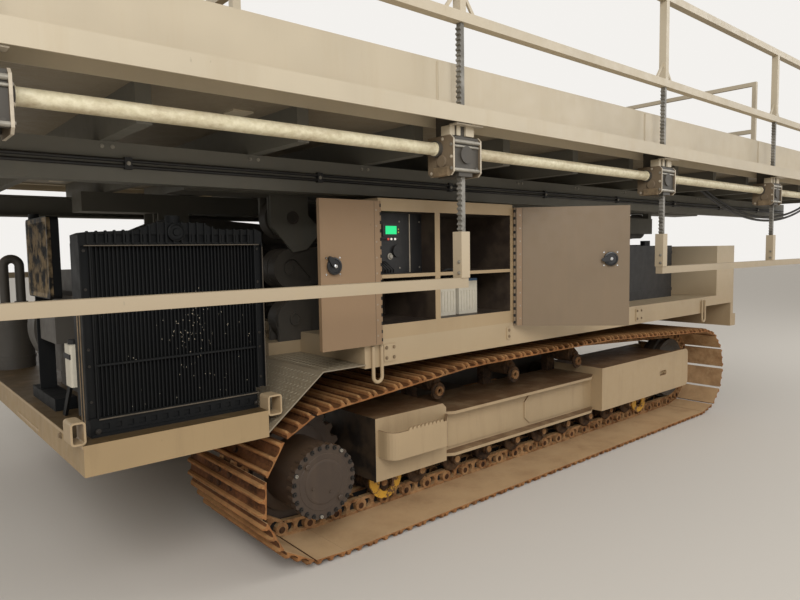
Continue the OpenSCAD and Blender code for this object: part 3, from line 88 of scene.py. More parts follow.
class Shade:
    """Builds one node material step by step, and keeps it in MATERIALS under its name."""

    def __init__(self, name):
        MATERIALS[name] = bpy.data.materials.new(name)
        MATERIALS[name].use_nodes = True
        self.tree = MATERIALS[name].node_tree
        self.shader = self.tree.nodes["Principled BSDF"]
        self.where = self.tree.nodes.new("ShaderNodeTexCoord").outputs["Object"]

    def node(self, kind, inputs=None, **settings):
        """A new node with some of its inputs and settings."""
        made = self.tree.nodes.new(kind)
        for key, value in settings.items():
            setattr(made, key, value)
        for key, value in (inputs or {}).items():
            made.inputs[key].default_value = value
        return made

    def link(self, source, target):
        """Joins an output to an input."""
        self.tree.links.new(source, target)

    def noise(self, scale, detail=4.0, rough=0.6, stretch=(1, 1, 1)):
        """A noise value between 0 and 1, in object space."""
        place = self.node("ShaderNodeMapping", {"Scale": stretch})
        self.link(self.where, place.inputs["Vector"])
        tex = self.node("ShaderNodeTexNoise", {"Scale": scale, "Detail": detail, "Roughness": rough})
        self.link(place.outputs["Vector"], tex.inputs["Vector"])
        return tex.outputs["Fac"]

    def band(self, value, low, high, start=0.0, end=1.0):
        """Maps low..high of a value to start..end, clamped."""
        ramp = self.node("ShaderNodeMapRange", {"From Min": low, "From Max": high, "To Min": start, "To Max": end})
        self.link(value, ramp.inputs["Value"])
        return ramp.outputs["Result"]

    def math(self, how, a, b):
        """Combines two values, each a number or a socket."""
        made = self.node("ShaderNodeMath", operation=how)
        for k, v in enumerate((a, b)):
            if isinstance(v, (int, float)):
                made.inputs[k].default_value = v
            else:
                self.link(v, made.inputs[k])
        return made.outputs[0]

    def mix(self, fac, a, b, how="MIX"):
        """Mixes two colours, or a colour and a socket."""
        made = self.node("ShaderNodeMix", data_type="RGBA", blend_type=how)
        for key, v in ((0, fac), (6, a), (7, b)):
            if isinstance(v, (int, float)):
                made.inputs[key].default_value = v
            elif isinstance(v, tuple):
                made.inputs[key].default_value = (*v, 1)
            else:
                self.link(v, made.inputs[key])
        return made.outputs[2]

    def axes(self):
        """X, Y and Z in object space, which at rest is the frame's own."""
        split = self.node("ShaderNodeSeparateXYZ")
        self.link(self.where, split.inputs[0])
        return split.outputs

    def inside(self, low, high):
        """1 inside a box of object space, 0 outside."""
        within = 1.0
        for value, a, b in zip(self.axes(), low, high):
            within = self.math("MULTIPLY", within, self.math("GREATER_THAN", value, a))
            within = self.math("MULTIPLY", within, self.math("LESS_THAN", value, b))
        return within

    def facing_up(self, low=0.2, high=0.95):
        """1 on faces that look up, 0 on walls and undersides."""
        axis = self.node("ShaderNodeSeparateXYZ")
        self.link(self.node("ShaderNodeNewGeometry").outputs["Normal"], axis.inputs[0])
        return self.band(axis.outputs["Z"], low, high)

    def bump(self, height, strength, distance):
        """Roughens the surface by a height value."""
        made = self.node("ShaderNodeBump", {"Strength": strength, "Distance": distance})
        self.link(height, made.inputs["Height"])
        self.link(made.outputs["Normal"], self.shader.inputs["Normal"])

    def set(self, **values):
        """Sets or links the shader's inputs, named as base_color for Base Color."""
        for key, value in values.items():
            socket = self.shader.inputs[key.replace("_", " ").title()]
            if isinstance(value, tuple):
                socket.default_value = (*value, 1)
            elif isinstance(value, (int, float)):
                socket.default_value = value
            else:
                self.link(value, socket)


def paint_material(name, colour, dust, shine, dusty=0.55, lower=None, zone=None, chips=None, tread=False,
                   sheen=0.5):
    """Sprayed paint with slow tone changes, settled dust, streaks and small scuffs.

    lower is the browner colour near the ground, partly dust and partly painted shade, zone a box of object space
    with its own two colours, and chips a colour where the paint has come off."""
    s = Shade(name)
    tone = s.band(s.noise(1.3, 3), 0.3, 0.7, 0.90, 1.08)
    # Browner towards the ground by object Z: partly dust, partly painted shade under the deck's overhang
    clean = s.mix(s.band(s.axes()["Z"], 0.9, 2.1), lower, colour) if lower else colour
    base = s.mix(1.0, clean, s.mix(tone, (0, 0, 0), (1, 1, 1)), "MULTIPLY")
    settled = s.math("MULTIPLY", s.facing_up(), s.band(s.noise(6, 6), 0.35, 0.65, 0.5, 1.0))
    streak = s.band(s.noise(9, 5, 0.7, (1, 1, 0.12)), 0.52, 0.78, 0.0, 0.30)
    film = s.math("ADD", s.math("MULTIPLY", settled, dusty), streak)
    worn = s.mix(film, base, dust)
    scuff = s.band(s.noise(46, 3, 0.7, (1, 1, 0.5)), 0.70, 0.76, 0.0, 0.45)
    worn = s.mix(scuff, worn, tuple(c * 0.55 for c in colour))
    if chips:
        worn = s.mix(s.band(s.noise(17, 6, 0.7), 0.50, 0.56), worn, chips)
    # A zone's two mottled colours replace the rest; the cabinet's inside and the track frame's end are painted shade
    # this way
    if zone:
        low, high, dark, light, scale = zone
        worn = s.mix(s.inside(low, high), worn, s.mix(s.band(s.noise(scale, 3), 0.42, 0.58), dark, light))
    s.set(base_color=worn, roughness=s.band(s.noise(14, 5), 0.3, 0.7, shine, shine + 0.18))
    s.shader.inputs["Specular IOR Level"].default_value = sheen
    if tread:
        wave = s.node("ShaderNodeTexWave", {"Scale": 30, "Distortion": 6}, wave_type="BANDS",
                      bands_direction="DIAGONAL")
        s.link(s.where, wave.inputs["Vector"])
        s.bump(wave.outputs["Fac"], 0.5, 0.002)
    else:
        s.bump(s.noise(240, 2), 0.08, 0.002)


def rust_material(name, deep, light, spot, dust, cover):
    """Rusty track steel, with brighter worn spots, and dust whose share is cover."""
    s = Shade(name)
    base = s.mix(s.band(s.noise(7, 8, 0.7), 0.40, 0.60), deep, light)
    spots = s.mix(s.band(s.noise(31, 6, 0.75), 0.50, 0.72, 0.0, 0.8), base, spot)
    patches = s.band(s.noise(4, 6), 0.25, 0.6, 0.35 * cover, 0.95 * cover)
    settled = s.math("MULTIPLY", s.facing_up(0.0, 0.9), patches)
    film = s.math("MAXIMUM", settled, s.band(s.noise(11, 7, 0.7), 0.46, 0.70, 0.0, 0.65 * cover))
    s.set(base_color=s.mix(film, spots, dust), roughness=s.band(s.noise(20, 4), 0.3, 0.7, 0.7, 0.95))
    s.shader.inputs["Specular IOR Level"].default_value = 0.15
    s.bump(s.noise(120, 6, 0.7), 0.35, 0.004)


def pipe_material():
    """Galvanised pipe with rust blooms."""
    s = Shade("galvanised")
    spangle = s.mix(s.band(s.noise(38, 3), 0.35, 0.65), (0.68, 0.61, 0.41), (0.84, 0.77, 0.56))
    bloom = s.band(s.noise(9, 8, 0.75, (0.35, 1, 1)), 0.48, 0.68, 0.0, 0.55)
    s.set(base_color=s.mix(bloom, spangle, (0.34, 0.23, 0.12)), metallic=0.1,
          roughness=s.band(s.noise(25, 4), 0.3, 0.7, 0.35, 0.65))
    s.bump(s.noise(160, 4), 0.15, 0.002)


def plain_material(name, colour, rough, metal=0.0, mottle=0.12):
    """A small piece's finish, with slight mottling."""
    s = Shade(name)
    dark = tuple(c * (1 - mottle) for c in colour)
    s.set(base_color=s.mix(s.band(s.noise(24, 4), 0.3, 0.7), dark, colour), metallic=metal,
          roughness=s.band(s.noise(30, 3), 0.3, 0.7, rough, min(rough + 0.12, 1)))
    s.bump(s.noise(300, 2), 0.05, 0.001)


def lamp_material(name, colour, glow):
    """A small lit face."""
    s = Shade(name)
    s.set(base_color=s.mix(s.band(s.noise(60, 2), 0.3, 0.7), tuple(c * 0.9 for c in colour), colour), roughness=0.3)
    s.shader.inputs["Emission Color"].default_value = (*colour, 1)
    s.shader.inputs["Emission Strength"].default_value = glow


# The low colour is browner and darker: partly dust near the ground, partly painted shade under the deck
PAINT, PAINT_LOW_DUST_AND_SHADE, PAINT_DUST = (0.54, 0.465, 0.34), (0.42, 0.305, 0.175), (0.46, 0.36, 0.22)
# No piece reaches this far from the middle
BEYOND = 9
# Boxes of object space with their own look: low and high corner, dark and light colour, scale of the mottling
# Painted shade: the cabinet's bays are coloured near black inside, with a faint mottle
CABINET_INSIDE_SHADE = ((-2.160, -1.716, 1.180), (-1.035, -1.230, 1.935), (0.030, 0.020, 0.014), (0.060, 0.042, 0.028), 5)
RACK_LENGTHS = ((-BEYOND, -BEYOND, 1.7505), (BEYOND, BEYOND, 2.7645), (0.13, 0.12, 0.10),
                (0.25, 0.235, 0.205), 9)
COOLER_FACE = ((-3.660, -1.010, 1.455), (-3.625, -0.505, 1.850), (0.010, 0.009, 0.008), (0.25, 0.18, 0.095), 13)
# The near track frame's rear box end is coloured dark as painted shade, and so is the hub motor's mount, which reaches
# past it; the mount stays inside this Y
MOUNT_Y = -1.5
REAR_BOX_X = min(v.co.x for v in record_nodes["track_frame_near"].data.vertices if v.co.y < MOUNT_Y)
FRAME_END_SHADE = ((-BEYOND, -BEYOND, 0), (REAR_BOX_X + 0.002, BEYOND, 1), (0.012, 0.009, 0.007), (0.045, 0.030, 0.018), 6)

paint_material("paint", PAINT, PAINT_DUST, 0.42, 0.35, PAINT_LOW_DUST_AND_SHADE)
paint_material("cabinet_paint", PAINT_LOW_DUST_AND_SHADE, PAINT_DUST, 0.42, 0.35, zone=CABINET_INSIDE_SHADE)
# Painted shade: both doors' paint is darker and browner than the rest, the open right door's inner face darkest
paint_material("door_shaded_paint", (0.265, 0.170, 0.094), (0.31, 0.205, 0.115), 0.42, 0.35)
paint_material("right_door_shaded_paint", (0.205, 0.145, 0.086), (0.25, 0.17, 0.095), 0.42, 0.35)
paint_material("frame_paint", PAINT, (0.15, 0.085, 0.040), 0.42, 1.2, PAINT_LOW_DUST_AND_SHADE, FRAME_END_SHADE)
rust_material("roller_steel", (0.018, 0.012, 0.009), (0.075, 0.048, 0.031), (0.15, 0.075, 0.034),
              (0.22, 0.125, 0.062), 0.7)
plain_material("chequer_rib", (0.40, 0.345, 0.24), 0.38, 0.2, 0.35)
# The rails' low colour is browner: partly dust, partly painted shade
paint_material("rail_paint", PAINT, PAINT_DUST, 0.42, 0.35, (0.32, 0.225, 0.125))
paint_material("rack_and_post", PAINT, PAINT_DUST, 0.42, 0.35, PAINT_LOW_DUST_AND_SHADE, RACK_LENGTHS)
paint_material("dark_steel", (0.066, 0.058, 0.047), (0.14, 0.105, 0.07), 0.50, 0.5)
paint_material("beam_steel", (0.150, 0.143, 0.118), (0.17, 0.145, 0.10), 0.55, 0.4)
plain_material("core_edge_highlight", (0.13, 0.105, 0.075), 0.5, 0.2, 0.4)
rust_material("track_rust", (0.030, 0.011, 0.005), (0.120, 0.046, 0.019), (0.21, 0.08, 0.026),
              (0.22, 0.105, 0.040), 0.45)
rust_material("shoe_rib", (0.17, 0.070, 0.027), (0.29, 0.125, 0.045), (0.41, 0.17, 0.055),
              (0.43, 0.25, 0.105), 0.8)
rust_material("shoe_inner", (0.27, 0.155, 0.075), (0.44, 0.275, 0.14), (0.36, 0.19, 0.085),
              (0.52, 0.35, 0.19), 1.0)
paint_material("black", (0.012, 0.0115, 0.0115), (0.070, 0.055, 0.038), 0.38, 0.3)
paint_material("core_black", (0.0055, 0.0060, 0.0064), (0.022, 0.020, 0.016), 0.5, 0.15,
               zone=COOLER_FACE, sheen=0.2)
paint_material("cover_paint", (0.052, 0.033, 0.021), (0.12, 0.075, 0.04), 0.5, 0.4)
# Browner, darker base, partly painted shade on the platform's end face; its dark brown dust is dirt
paint_material("platform_paint", (0.345, 0.240, 0.122), (0.090, 0.056, 0.022), 0.45, 1.5)
paint_material("gear_plate", (0.17, 0.125, 0.078), (0.20, 0.14, 0.08), 0.5, 0.3)
paint_material("chequer", (0.26, 0.215, 0.15), (0.27, 0.20, 0.115), 0.40, 0.5, tread=True)
pipe_material()
paint_material("yellow", (0.62, 0.33, 0.03), (0.34, 0.20, 0.08), 0.45, 0.5, chips=(0.12, 0.055, 0.022))
plain_material("ivory", (0.62, 0.57, 0.46), 0.45)
plain_material("rod_chrome", (0.70, 0.70, 0.70), 0.12, 1.0, 0.04)
rust_material("link_rust", (0.15, 0.065, 0.026), (0.36, 0.195, 0.09), (0.46, 0.23, 0.085),
              (0.54, 0.36, 0.18), 0.8)
rust_material("bolt_rust", (0.018, 0.008, 0.005), (0.085, 0.038, 0.018), (0.14, 0.06, 0.025),
              (0.20, 0.12, 0.06), 0.3)
plain_material("zinc", (0.42, 0.39, 0.33), 0.38, 0.6, 0.35)
plain_material("dark_bolt", (0.040, 0.034, 0.028), 0.40, 0.4, 0.4)
plain_material("handle", (0.012, 0.012, 0.013), 0.35)
plain_material("shadow_gap", (0.010, 0.008, 0.007), 0.8)
plain_material("worn_steel_and_highlight", (0.30, 0.215, 0.125), 0.55, 0.2, 0.5)
plain_material("edge_highlight_and_chip", (0.60, 0.52, 0.40), 0.45, 0.2, 0.3)
plain_material("rubber", (0.012, 0.011, 0.010), 0.6)
plain_material("lid_blue", (0.045, 0.10, 0.19), 0.45)
lamp_material("screen", (0.01, 0.62, 0.20), 0.8)
lamp_material("red_glow", (0.75, 0.10, 0.07), 0.4)
lamp_material("lamp_white", (0.85, 0.80, 0.72), 0.6)
lamp_material("lamp_amber", (0.60, 0.50, 0.06), 0.5)

# Nodes whose finish differs from their slot's
OWN_FINISH = {
    "cabinet": "cabinet_paint", "door_left": "door_shaded_paint", "door_right": "right_door_shaded_paint",
    "track_frame_near": "frame_paint", "track_frame_far": "frame_paint", "final_drives": "cover_paint",
    "carrier_rollers": "roller_steel", "bottom_rollers": "roller_steel",
    "guard_rails_near": "rail_paint", "guard_rails_far": "rail_paint",
    "guard_posts_near": "rack_and_post", "guard_posts_far": "rack_and_post",
    "deck_beams": "beam_steel", "deck_cross_members": "beam_steel",
    "rear_platform": "platform_paint", "mudguards": "chequer", "radiators": "core_black",
}


def dress_nodes():
    """Gives every CAD node its record slot's material, or its own variant of that."""
    slots = {p["node"]: p["material_slot"] for p in frame["record"]["subparts"]}
    for name, obj in record_nodes.items():
        obj.data.materials.clear()
        obj.data.materials.append(MATERIALS[OWN_FINISH.get(name, slots[name])])


dress_nodes()

# Small solids joined into pieces


def arc(centre, radius, start, end, steps):
    """Places along part of a circle, in a plane of two axes, both ends among them."""
    angles = [start + (end - start) * i / steps for i in range(steps + 1)]
    return [(centre[0] + radius * math.cos(a), centre[1] + radius * math.sin(a)) for a in angles]


def circle(centre, radius, count, start=0.0):
    """Evenly spaced places on a whole circle, as a closed outline."""
    return arc(centre, radius, start, start + math.tau, count)[:-1]


def mirrored(side, a, b):
    """Two Y values of the far side, mirrored where side is -1, in order."""
    return sorted((side * a, side * b))


# Sign of Y and name of each side of the machine
SIDES = ((-1, "near"), (1, "far"))


class Solids:
    """Collects many small closed solids, and joins them into one piece that rides on a body."""

    def __init__(self, name):
        self.name = name
        self.bm = bmesh.new()
        self.to = Matrix.Identity(4)
        self.materials = []
        self.current = 0

    def index(self, name):
        """Place of a material in this piece's own list."""
        if MATERIALS[name] not in self.materials:
            self.materials.append(MATERIALS[name])
        return self.materials.index(MATERIALS[name])

    def use(self, name):
        """Gives the solids that follow this material."""
        self.current = self.index(name)

    def loft(self, rings, sides=None):
        """Skins rings of points, which all have the same count, and closes both ends.

        sides names a material for each side, where they differ."""
        made = [[self.bm.verts.new(self.to @ Vector(p)) for p in ring] for ring in rings]
        faces = [self.bm.faces.new(made[0]), self.bm.faces.new(made[-1][::-1])]
        for face in faces:
            face.material_index = self.current
        count = len(made[0])
        for a, b in zip(made, made[1:]):
            for k in range(count):
                face = self.bm.faces.new((a[k], b[k], b[(k + 1) % count], a[(k + 1) % count]))
                face.material_index = self.index(sides[k]) if sides else self.current

    def prism_y(self, outline, start, end):
        """Extrudes an outline in X and Z along Y."""
        self.loft([[(x, y, z) for x, z in outline] for y in (start, end)])

    def box(self, low, high, edge=0.0015):
        """A block whose long edges are broken by a small chamfer."""
        (x0, y0, z0), (x1, y1, z1) = low, high
        e = min(edge, (x1 - x0) / 3, (z1 - z0) / 3)
        self.prism_y([(x0 + e, z0), (x1 - e, z0), (x1, z0 + e), (x1, z1 - e), (x1 - e, z1), (x0 + e, z1),
                      (x0, z1 - e), (x0, z0 + e)], y0, y1)

    def side_box(self, side, low, high, edge=0.0015):
        """A block given for the far side, mirrored in Y where side is -1."""
        y0, y1 = mirrored(side, low[1], high[1])
        self.box((low[0], y0, low[2]), (high[0], y1, high[2]), edge)

    def turned(self, profile, at, axis, sides=16):
        """Turns a profile of (distance along the axis, radius) pairs about an axis through a point."""
        ahead = Vector(axis).normalized()
        across = ahead.orthogonal().normalized()
        up = ahead.cross(across)
        rings = []
        for along, radius in profile:
            middle = Vector(at) + ahead * along
            rings.append([middle + across * p[0] + up * p[1] for p in circle((0, 0), radius, sides)])
        self.loft(rings)

    def bolt(self, at, axis, radius, height):
        """A hexagon head on its washer."""
        self.turned([(0, radius * 1.35), (height * 0.25, radius * 1.35)], at, axis, 12)
        self.turned([(height * 0.25, radius), (height * 0.85, radius), (height, radius * 0.82)], at, axis, 6)

    def screw(self, at, axis, radius, height):
        """A cap head with a socket in its middle."""
        profile = [(0, radius), (height, radius), (height, radius * 0.55), (height * 0.4, radius * 0.5)]
        self.turned(profile, at, axis, 12)

    def tube(self, points, radius, sides=10):
        """Sweeps a round section along points."""
        points = [Vector(p) for p in points]
        rings = []
        across = None
        for i, p in enumerate(points):
            ahead = (points[min(i + 1, len(points) - 1)] - points[max(i - 1, 0)]).normalized()
            across = ahead.orthogonal() if across is None else across - ahead * across.dot(ahead)
            across.normalize()
            up = ahead.cross(across)
            rings.append([p + across * c[0] + up * c[1] for c in circle((0, 0), radius, sides)])
        self.loft(rings)

    def ride(self, body, replaces=None):
        """Closes the mesh, and makes it a piece on a body."""
        bmesh.ops.recalc_face_normals(self.bm, faces=self.bm.faces)
        mesh = bpy.data.meshes.new(self.name)
        self.bm.to_mesh(mesh)
        self.bm.free()
        for material in self.materials:
            mesh.materials.append(material)
        piece = bpy.data.objects.new(self.name, mesh)
        bpy.context.scene.collection.objects.link(piece)
        if replaces:
            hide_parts(replaces)
        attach(piece, body)


def bend(points, steps=8):
    """A smooth curve through given points."""
    points = [Vector(p) for p in points]
    padded = [points[0] * 2 - points[1]] + points + [points[-1] * 2 - points[-2]]
    out = []
    for a, b, c, d in zip(padded, padded[1:], padded[2:], padded[3:]):
        for i in range(steps):
            t = i / steps
            out.append(0.5 * (2 * b + (c - a) * t + (2 * a - 5 * b + 4 * c - d) * t ** 2
                              + (3 * b - a - 3 * c + d) * t ** 3))
    return out + [points[-1]]


# Track chains: the same loop as in the CAD frame, with rounded shoes, open links and pins

SPROCKET_X, IDLER_X, AXLE_Z, PIN_R = -2.510, 1.935, 0.428, 0.352
TRACK_Y, SHOE_HALF, SHOE_COUNT = 1.250, 0.450, 59
WHEELBASE = IDLER_X - SPROCKET_X
CARRIER_Z = 0.874
CARRIER_XS = [SPROCKET_X + share * WHEELBASE for share in (0.25, 0.43, 0.617)]
# Above the pins: the shoes' inner face, their plate, its ribs; below them the links' rail
SEAT, PLATE, GROUSER, RAIL = 0.040, 0.010, 0.026, 0.050
CHAIN_HALF, BOSS_R = 0.085, 0.040


def tangent_angle(centre, at, side):
    """Angle, on a pin circle, of the straight run between it and a carrier."""
    gap = Vector(at) - Vector(centre)
    return math.atan2(gap.y, gap.x) % math.tau + side * math.acos(PIN_R / gap.length)


def loop_corners():
    """The pin line's points from the sprocket's lowest one: bottom run, idler, carriers, sprocket."""
    idler, sprocket = (IDLER_X, AXLE_Z), (SPROCKET_X, AXLE_Z)
    first, last = (CARRIER_XS[0], CARRIER_Z), (CARRIER_XS[-1], CARRIER_Z)
    leave, meet = tangent_angle(idler, last, -1), tangent_angle(sprocket, first, 1)
    return ([(SPROCKET_X, AXLE_Z - PIN_R)] + arc(idler, PIN_R, -math.pi / 2, leave, 400) + [last, first]
            + arc(sprocket, PIN_R, meet, 1.5 * math.pi, 400))


def chain_pins():
    """Pin centres, a pitch apart along the loop, starting half a pitch past the sprocket's lowest point."""
    corners = [Vector(p) for p in loop_corners()]
    corners.append(corners[0])
    lengths = [(b - a).length for a, b in zip(corners, corners[1:])]
    pitch = sum(lengths) / SHOE_COUNT
    pins, done, k = [], 0.0, 0
    for i in range(SHOE_COUNT):
        want = (i + 0.5) * pitch
        while done + lengths[k] < want:
            done += lengths[k]
            k += 1
        pins.append(corners[k].lerp(corners[k + 1], (want - done) / lengths[k]))
    return pins


def shoe_outline(pitch, rib):
    """One shoe's section: three rounded ribs with hollow valleys, and a lip at each end."""
    top = SEAT + PLATE
    points = [(-0.01 * pitch, top - 0.006), (0.02 * pitch, top)]
    for middle in (0.10, 0.50, 0.90):
        for share, height in ((-0.085, 0.02), (-0.060, 0.30), (-0.045, 0.82), (-0.025, 1.0),
                              (0.025, 1.0), (0.045, 0.82), (0.060, 0.30), (0.085, 0.02)):
            points.append(((middle + share) * pitch, top + height * GROUSER * rib))
        if middle < 0.9:
            points.append(((middle + 0.20) * pitch, top - 0.003))
    points.append((0.998 * pitch, top))
    return points + [(0.998 * pitch, SEAT + 0.001), (0.5 * pitch, SEAT), (-0.01 * pitch, SEAT + 0.001)]


def shoe_sides(outline):
    """Worn ribs, dark valleys between them, and a dusty inner face."""
    names = []
    for (_, z0), (_, z1) in zip(outline, outline[1:] + outline[:1]):
        if max(z0, z1) < SEAT + 0.005:
            names.append("shoe_inner")
        else:
            names.append("shoe_rib" if max(z0, z1) > SEAT + PLATE + 0.3 * GROUSER else "track_rust")
    return names


def add_shoe(chain, pitch):
    """One shoe, with four bolt heads on dark disks of painted shade."""
    chain.use("shoe_rib")
    rings = []
    for y, rib in ((-SHOE_HALF, 0.62), (-SHOE_HALF + 0.018, 1), (SHOE_HALF - 0.018, 1), (SHOE_HALF, 0.62)):
        rings.append([(x, y, z) for x, z in shoe_outline(pitch, rib)])
    chain.loft(rings, shoe_sides(shoe_outline(pitch, 1)))
    for share in (0.30, 0.70):
        for y in (-0.064, 0.064):
            at = (share * pitch, y, SEAT + PLATE - 0.005)
            chain.use("shadow_gap")
            chain.turned([(0, 0.025), (0.004, 0.023)], at, (0, 0, 1), 8)
            chain.use("bolt_rust")
            chain.turned([(0, 0.016), (0.012, 0.016), (0.014, 0.013)], at, (0, 0, 1), 6)


def add_link(chain, pitch):
    """Two side plates with a rail, a seat, a waist between two windows and a boss at each pin."""
    waist = [(0.34, -0.034), (0.66, -0.034), (0.585, -0.018), (0.56, 0.0), (0.585, 0.012), (0.66, 0.025),
             (0.34, 0.025), (0.415, 0.012), (0.44, 0.0), (0.415, -0.018)]
    window = [(0.13, -0.030), (0.87, -0.030), (0.87, 0.022), (0.13, 0.022)]
    for side in (-1, 1):
        chain.use("link_rust")
        chain.prism_y([(x * pitch, z) for x, z in waist], *mirrored(side, 0.054, 0.080))
        for x0, x1, z0, z1 in ((0.03, 0.97, -RAIL, -0.032), (0.10, 0.90, 0.022, SEAT)):
            chain.side_box(side, (x0 * pitch, 0.050, z0), (x1 * pitch, 0.084, z1), 0.004)
        for x, a, b in ((0.0, 0.066, CHAIN_HALF + 0.004), (pitch, 0.044, 0.066)):
            chain.prism_y(circle((x, -0.004), BOSS_R, 14), *mirrored(side, a, b))
        # Painted shade: a thin dark plate fills each window
        chain.use("shadow_gap")
        chain.prism_y([(x * pitch, z) for x, z in window], *mirrored(side, 0.050, 0.055))
    chain.use("bolt_rust")
    chain.turned([(-0.092, 0.016), (-0.089, 0.020), (0.089, 0.020), (0.092, 0.016)], (0, 0, 0), (0, 1, 0), 12)
    chain.turned([(-0.052, 0.031), (0.052, 0.031)], (0, 0, 0), (0, 1, 0), 12)


def make_chain(side, name):
    """One track: a shoe and a link at every pin, in place of the CAD loop."""
    pins = chain_pins()
    chain = Solids("chain_" + name)
    for a, b in zip(pins, pins[1:] + pins[:1]):
        along = (b - a).normalized()
        out = Vector((along.y, -along.x))
        chain.to = Matrix(((along.x, 0, out.x, a.x), (0, 1, 0, side * TRACK_Y),
                           (along.y, 0, out.y, a.y), (0, 0, 0, 1)))
        add_shoe(chain, (b - a).length)
        add_link(chain, (b - a).length)
    chain.ride("base", "track_" + name)


for side, name in SIDES:
    make_chain(side, name)

# Final drive covers

COVER_Y, COVER_BOLT_R, COVER_BOLTS = 1.640, 0.187, 24
COVER_BOLT_START = math.radians(7.5)
# Plugs: angle in degrees, distance from the middle, radius
COVER_PLUGS = ((135, 0.148, 0.016), (-48, 0.148, 0.016), (195, 0.078, 0.009), (-60, 0.070, 0.008))


def make_cover_fittings(side, name):
    """Screws in the scallops, a raised middle and a few plugs, with no lettering."""
    piece = Solids("cover_fittings_" + name)
    ahead = (0, side, 0)
    centre = (SPROCKET_X, side * COVER_Y, AXLE_Z)
    for k, (x, z) in enumerate(circle((SPROCKET_X, AXLE_Z), COVER_BOLT_R, COVER_BOLTS, COVER_BOLT_START)):
        at = (x, side * COVER_Y, z)
        # Painted shade: a dark ring round each screw; every seventh screw is zinc-bright, a painted glint
        piece.use("shadow_gap")
        piece.turned([(0, 0.0135), (0.001, 0.0135)], at, ahead, 14)
        piece.use("zinc" if k % 7 == 3 else "dark_bolt")
        piece.screw(at, ahead, 0.0095, 0.009)
    piece.use("cover_paint")
    piece.turned([(0, 0.124), (0.004, 0.121), (0.006, 0.112)], centre, ahead, 48)
    piece.turned([(0, 0.155), (0.002, 0.153)], centre, ahead, 48)
    for angle, away, r in COVER_PLUGS:
        a = math.radians(angle)
        piece.bolt((SPROCKET_X + away * math.cos(a), side * COVER_Y, AXLE_Z + away * math.sin(a)), ahead, r, 0.012)
    piece.ride("base")


for side, name in SIDES:
    make_cover_fittings(side, name)

# Rollers: hubs and caps on the ends that look outwards

# Rollers of a row stand further apart than this in X
ROLLER_GAP = 0.05
# Profiles as distance outwards and share of the roller end's radius
CARRIER_HUB = (("roller_steel", ((-0.0004, 0.80), (0.012, 0.76), (0.012, 0.50))),
               ("link_rust", ((0.010, 0.46), (0.026, 0.43), (0.026, 0.24), (0.012, 0.20))))
BOTTOM_CAP = (("link_rust", ((-0.0004, 0.62), (0.003, 0.58), (0.003, 0.44), (0.0005, 0.38))),)


def roller_ends(name, side):
    """Middle and radius of the outer end of every roller on one side."""
    points = sorted((v.co.copy() for v in record_nodes[name].data.vertices if v.co.y * side > 0), key=lambda p: p.x)
    groups = [[points[0]]]
    for a, b in zip(points, points[1:]):
        if b.x - a.x > ROLLER_GAP:
            groups.append([])
        groups[-1].append(b)
    for group in groups:
        xs, zs = [p.x for p in group], [p.z for p in group]
        x, z = (min(xs) + max(xs)) / 2, (min(zs) + max(zs)) / 2
        end = max(p.y * side for p in group)
        rim = [math.hypot(p.x - x, p.z - z) for p in group if p.y * side > end - 0.001]
        yield (x, side * end, z), max(rim)


def make_roller_caps():
    """Stepped hubs on the carrier rollers, and low caps on the bottom rollers."""
    caps = Solids("roller_caps")
    for name, hub in (("carrier_rollers", CARRIER_HUB), ("bottom_rollers", BOTTOM_CAP)):
        for side in (-1, 1):
            for at, radius in roller_ends(name, side):
                for finish, profile in hub:
                    caps.use(finish)
                    caps.turned([(along, radius * share) for along, share in profile], at, (0, side, 0), 24)
    caps.ride("base")


make_roller_caps()

# Mudguards: the raised lozenges of chequer plate

LOZENGE_PITCH, LOZENGE_ROW = 0.034, 0.022
# Half a lozenge's length and width, and its height
LOZENGE_L, LOZENGE_W, LOZENGE_H = 0.0135, 0.0042, 0.0016


def in_triangle(corners, y, s):
    """True where a point of a triangle's plane lies inside it."""
    edges = zip(corners, corners[1:] + corners[:1])
    turns = [(b[0] - a[0]) * (s - a[1]) - (b[1] - a[1]) * (y - a[0]) for a, b in edges]
    return all(k >= 0 for k in turns) or all(k <= 0 for k in turns)


def lozenge_places(corners):
    """Row and place of every lozenge in a triangle, clear of the ends of its box."""
    ys, ss = [c[0] for c in corners], [c[1] for c in corners]
    for j in range(math.ceil(min(ss) / LOZENGE_ROW), math.floor(max(ss) / LOZENGE_ROW) + 1):
        for i in range(math.ceil(min(ys) / LOZENGE_PITCH) - 1, math.floor(max(ys) / LOZENGE_PITCH) + 1):
            y, s = (i + 0.5 * (j % 2)) * LOZENGE_PITCH, j * LOZENGE_ROW
            clear = (min(ys) + LOZENGE_L < y < max(ys) - LOZENGE_L and min(ss) + LOZENGE_L < s < max(ss) - LOZENGE_L)
            if clear and in_triangle(corners, y, s):
                yield j, y, s


def lozenge_ring(turn, share):
    """Corners of a turned lozenge about its middle, at a share of its size."""
    cos, sin = share * math.cos(turn), share * math.sin(turn)
    for p, q in ((LOZENGE_L, 0), (0, LOZENGE_W), (-LOZENGE_L, 0), (0, -LOZENGE_W)):
        yield p * cos - q * sin, p * sin + q * cos


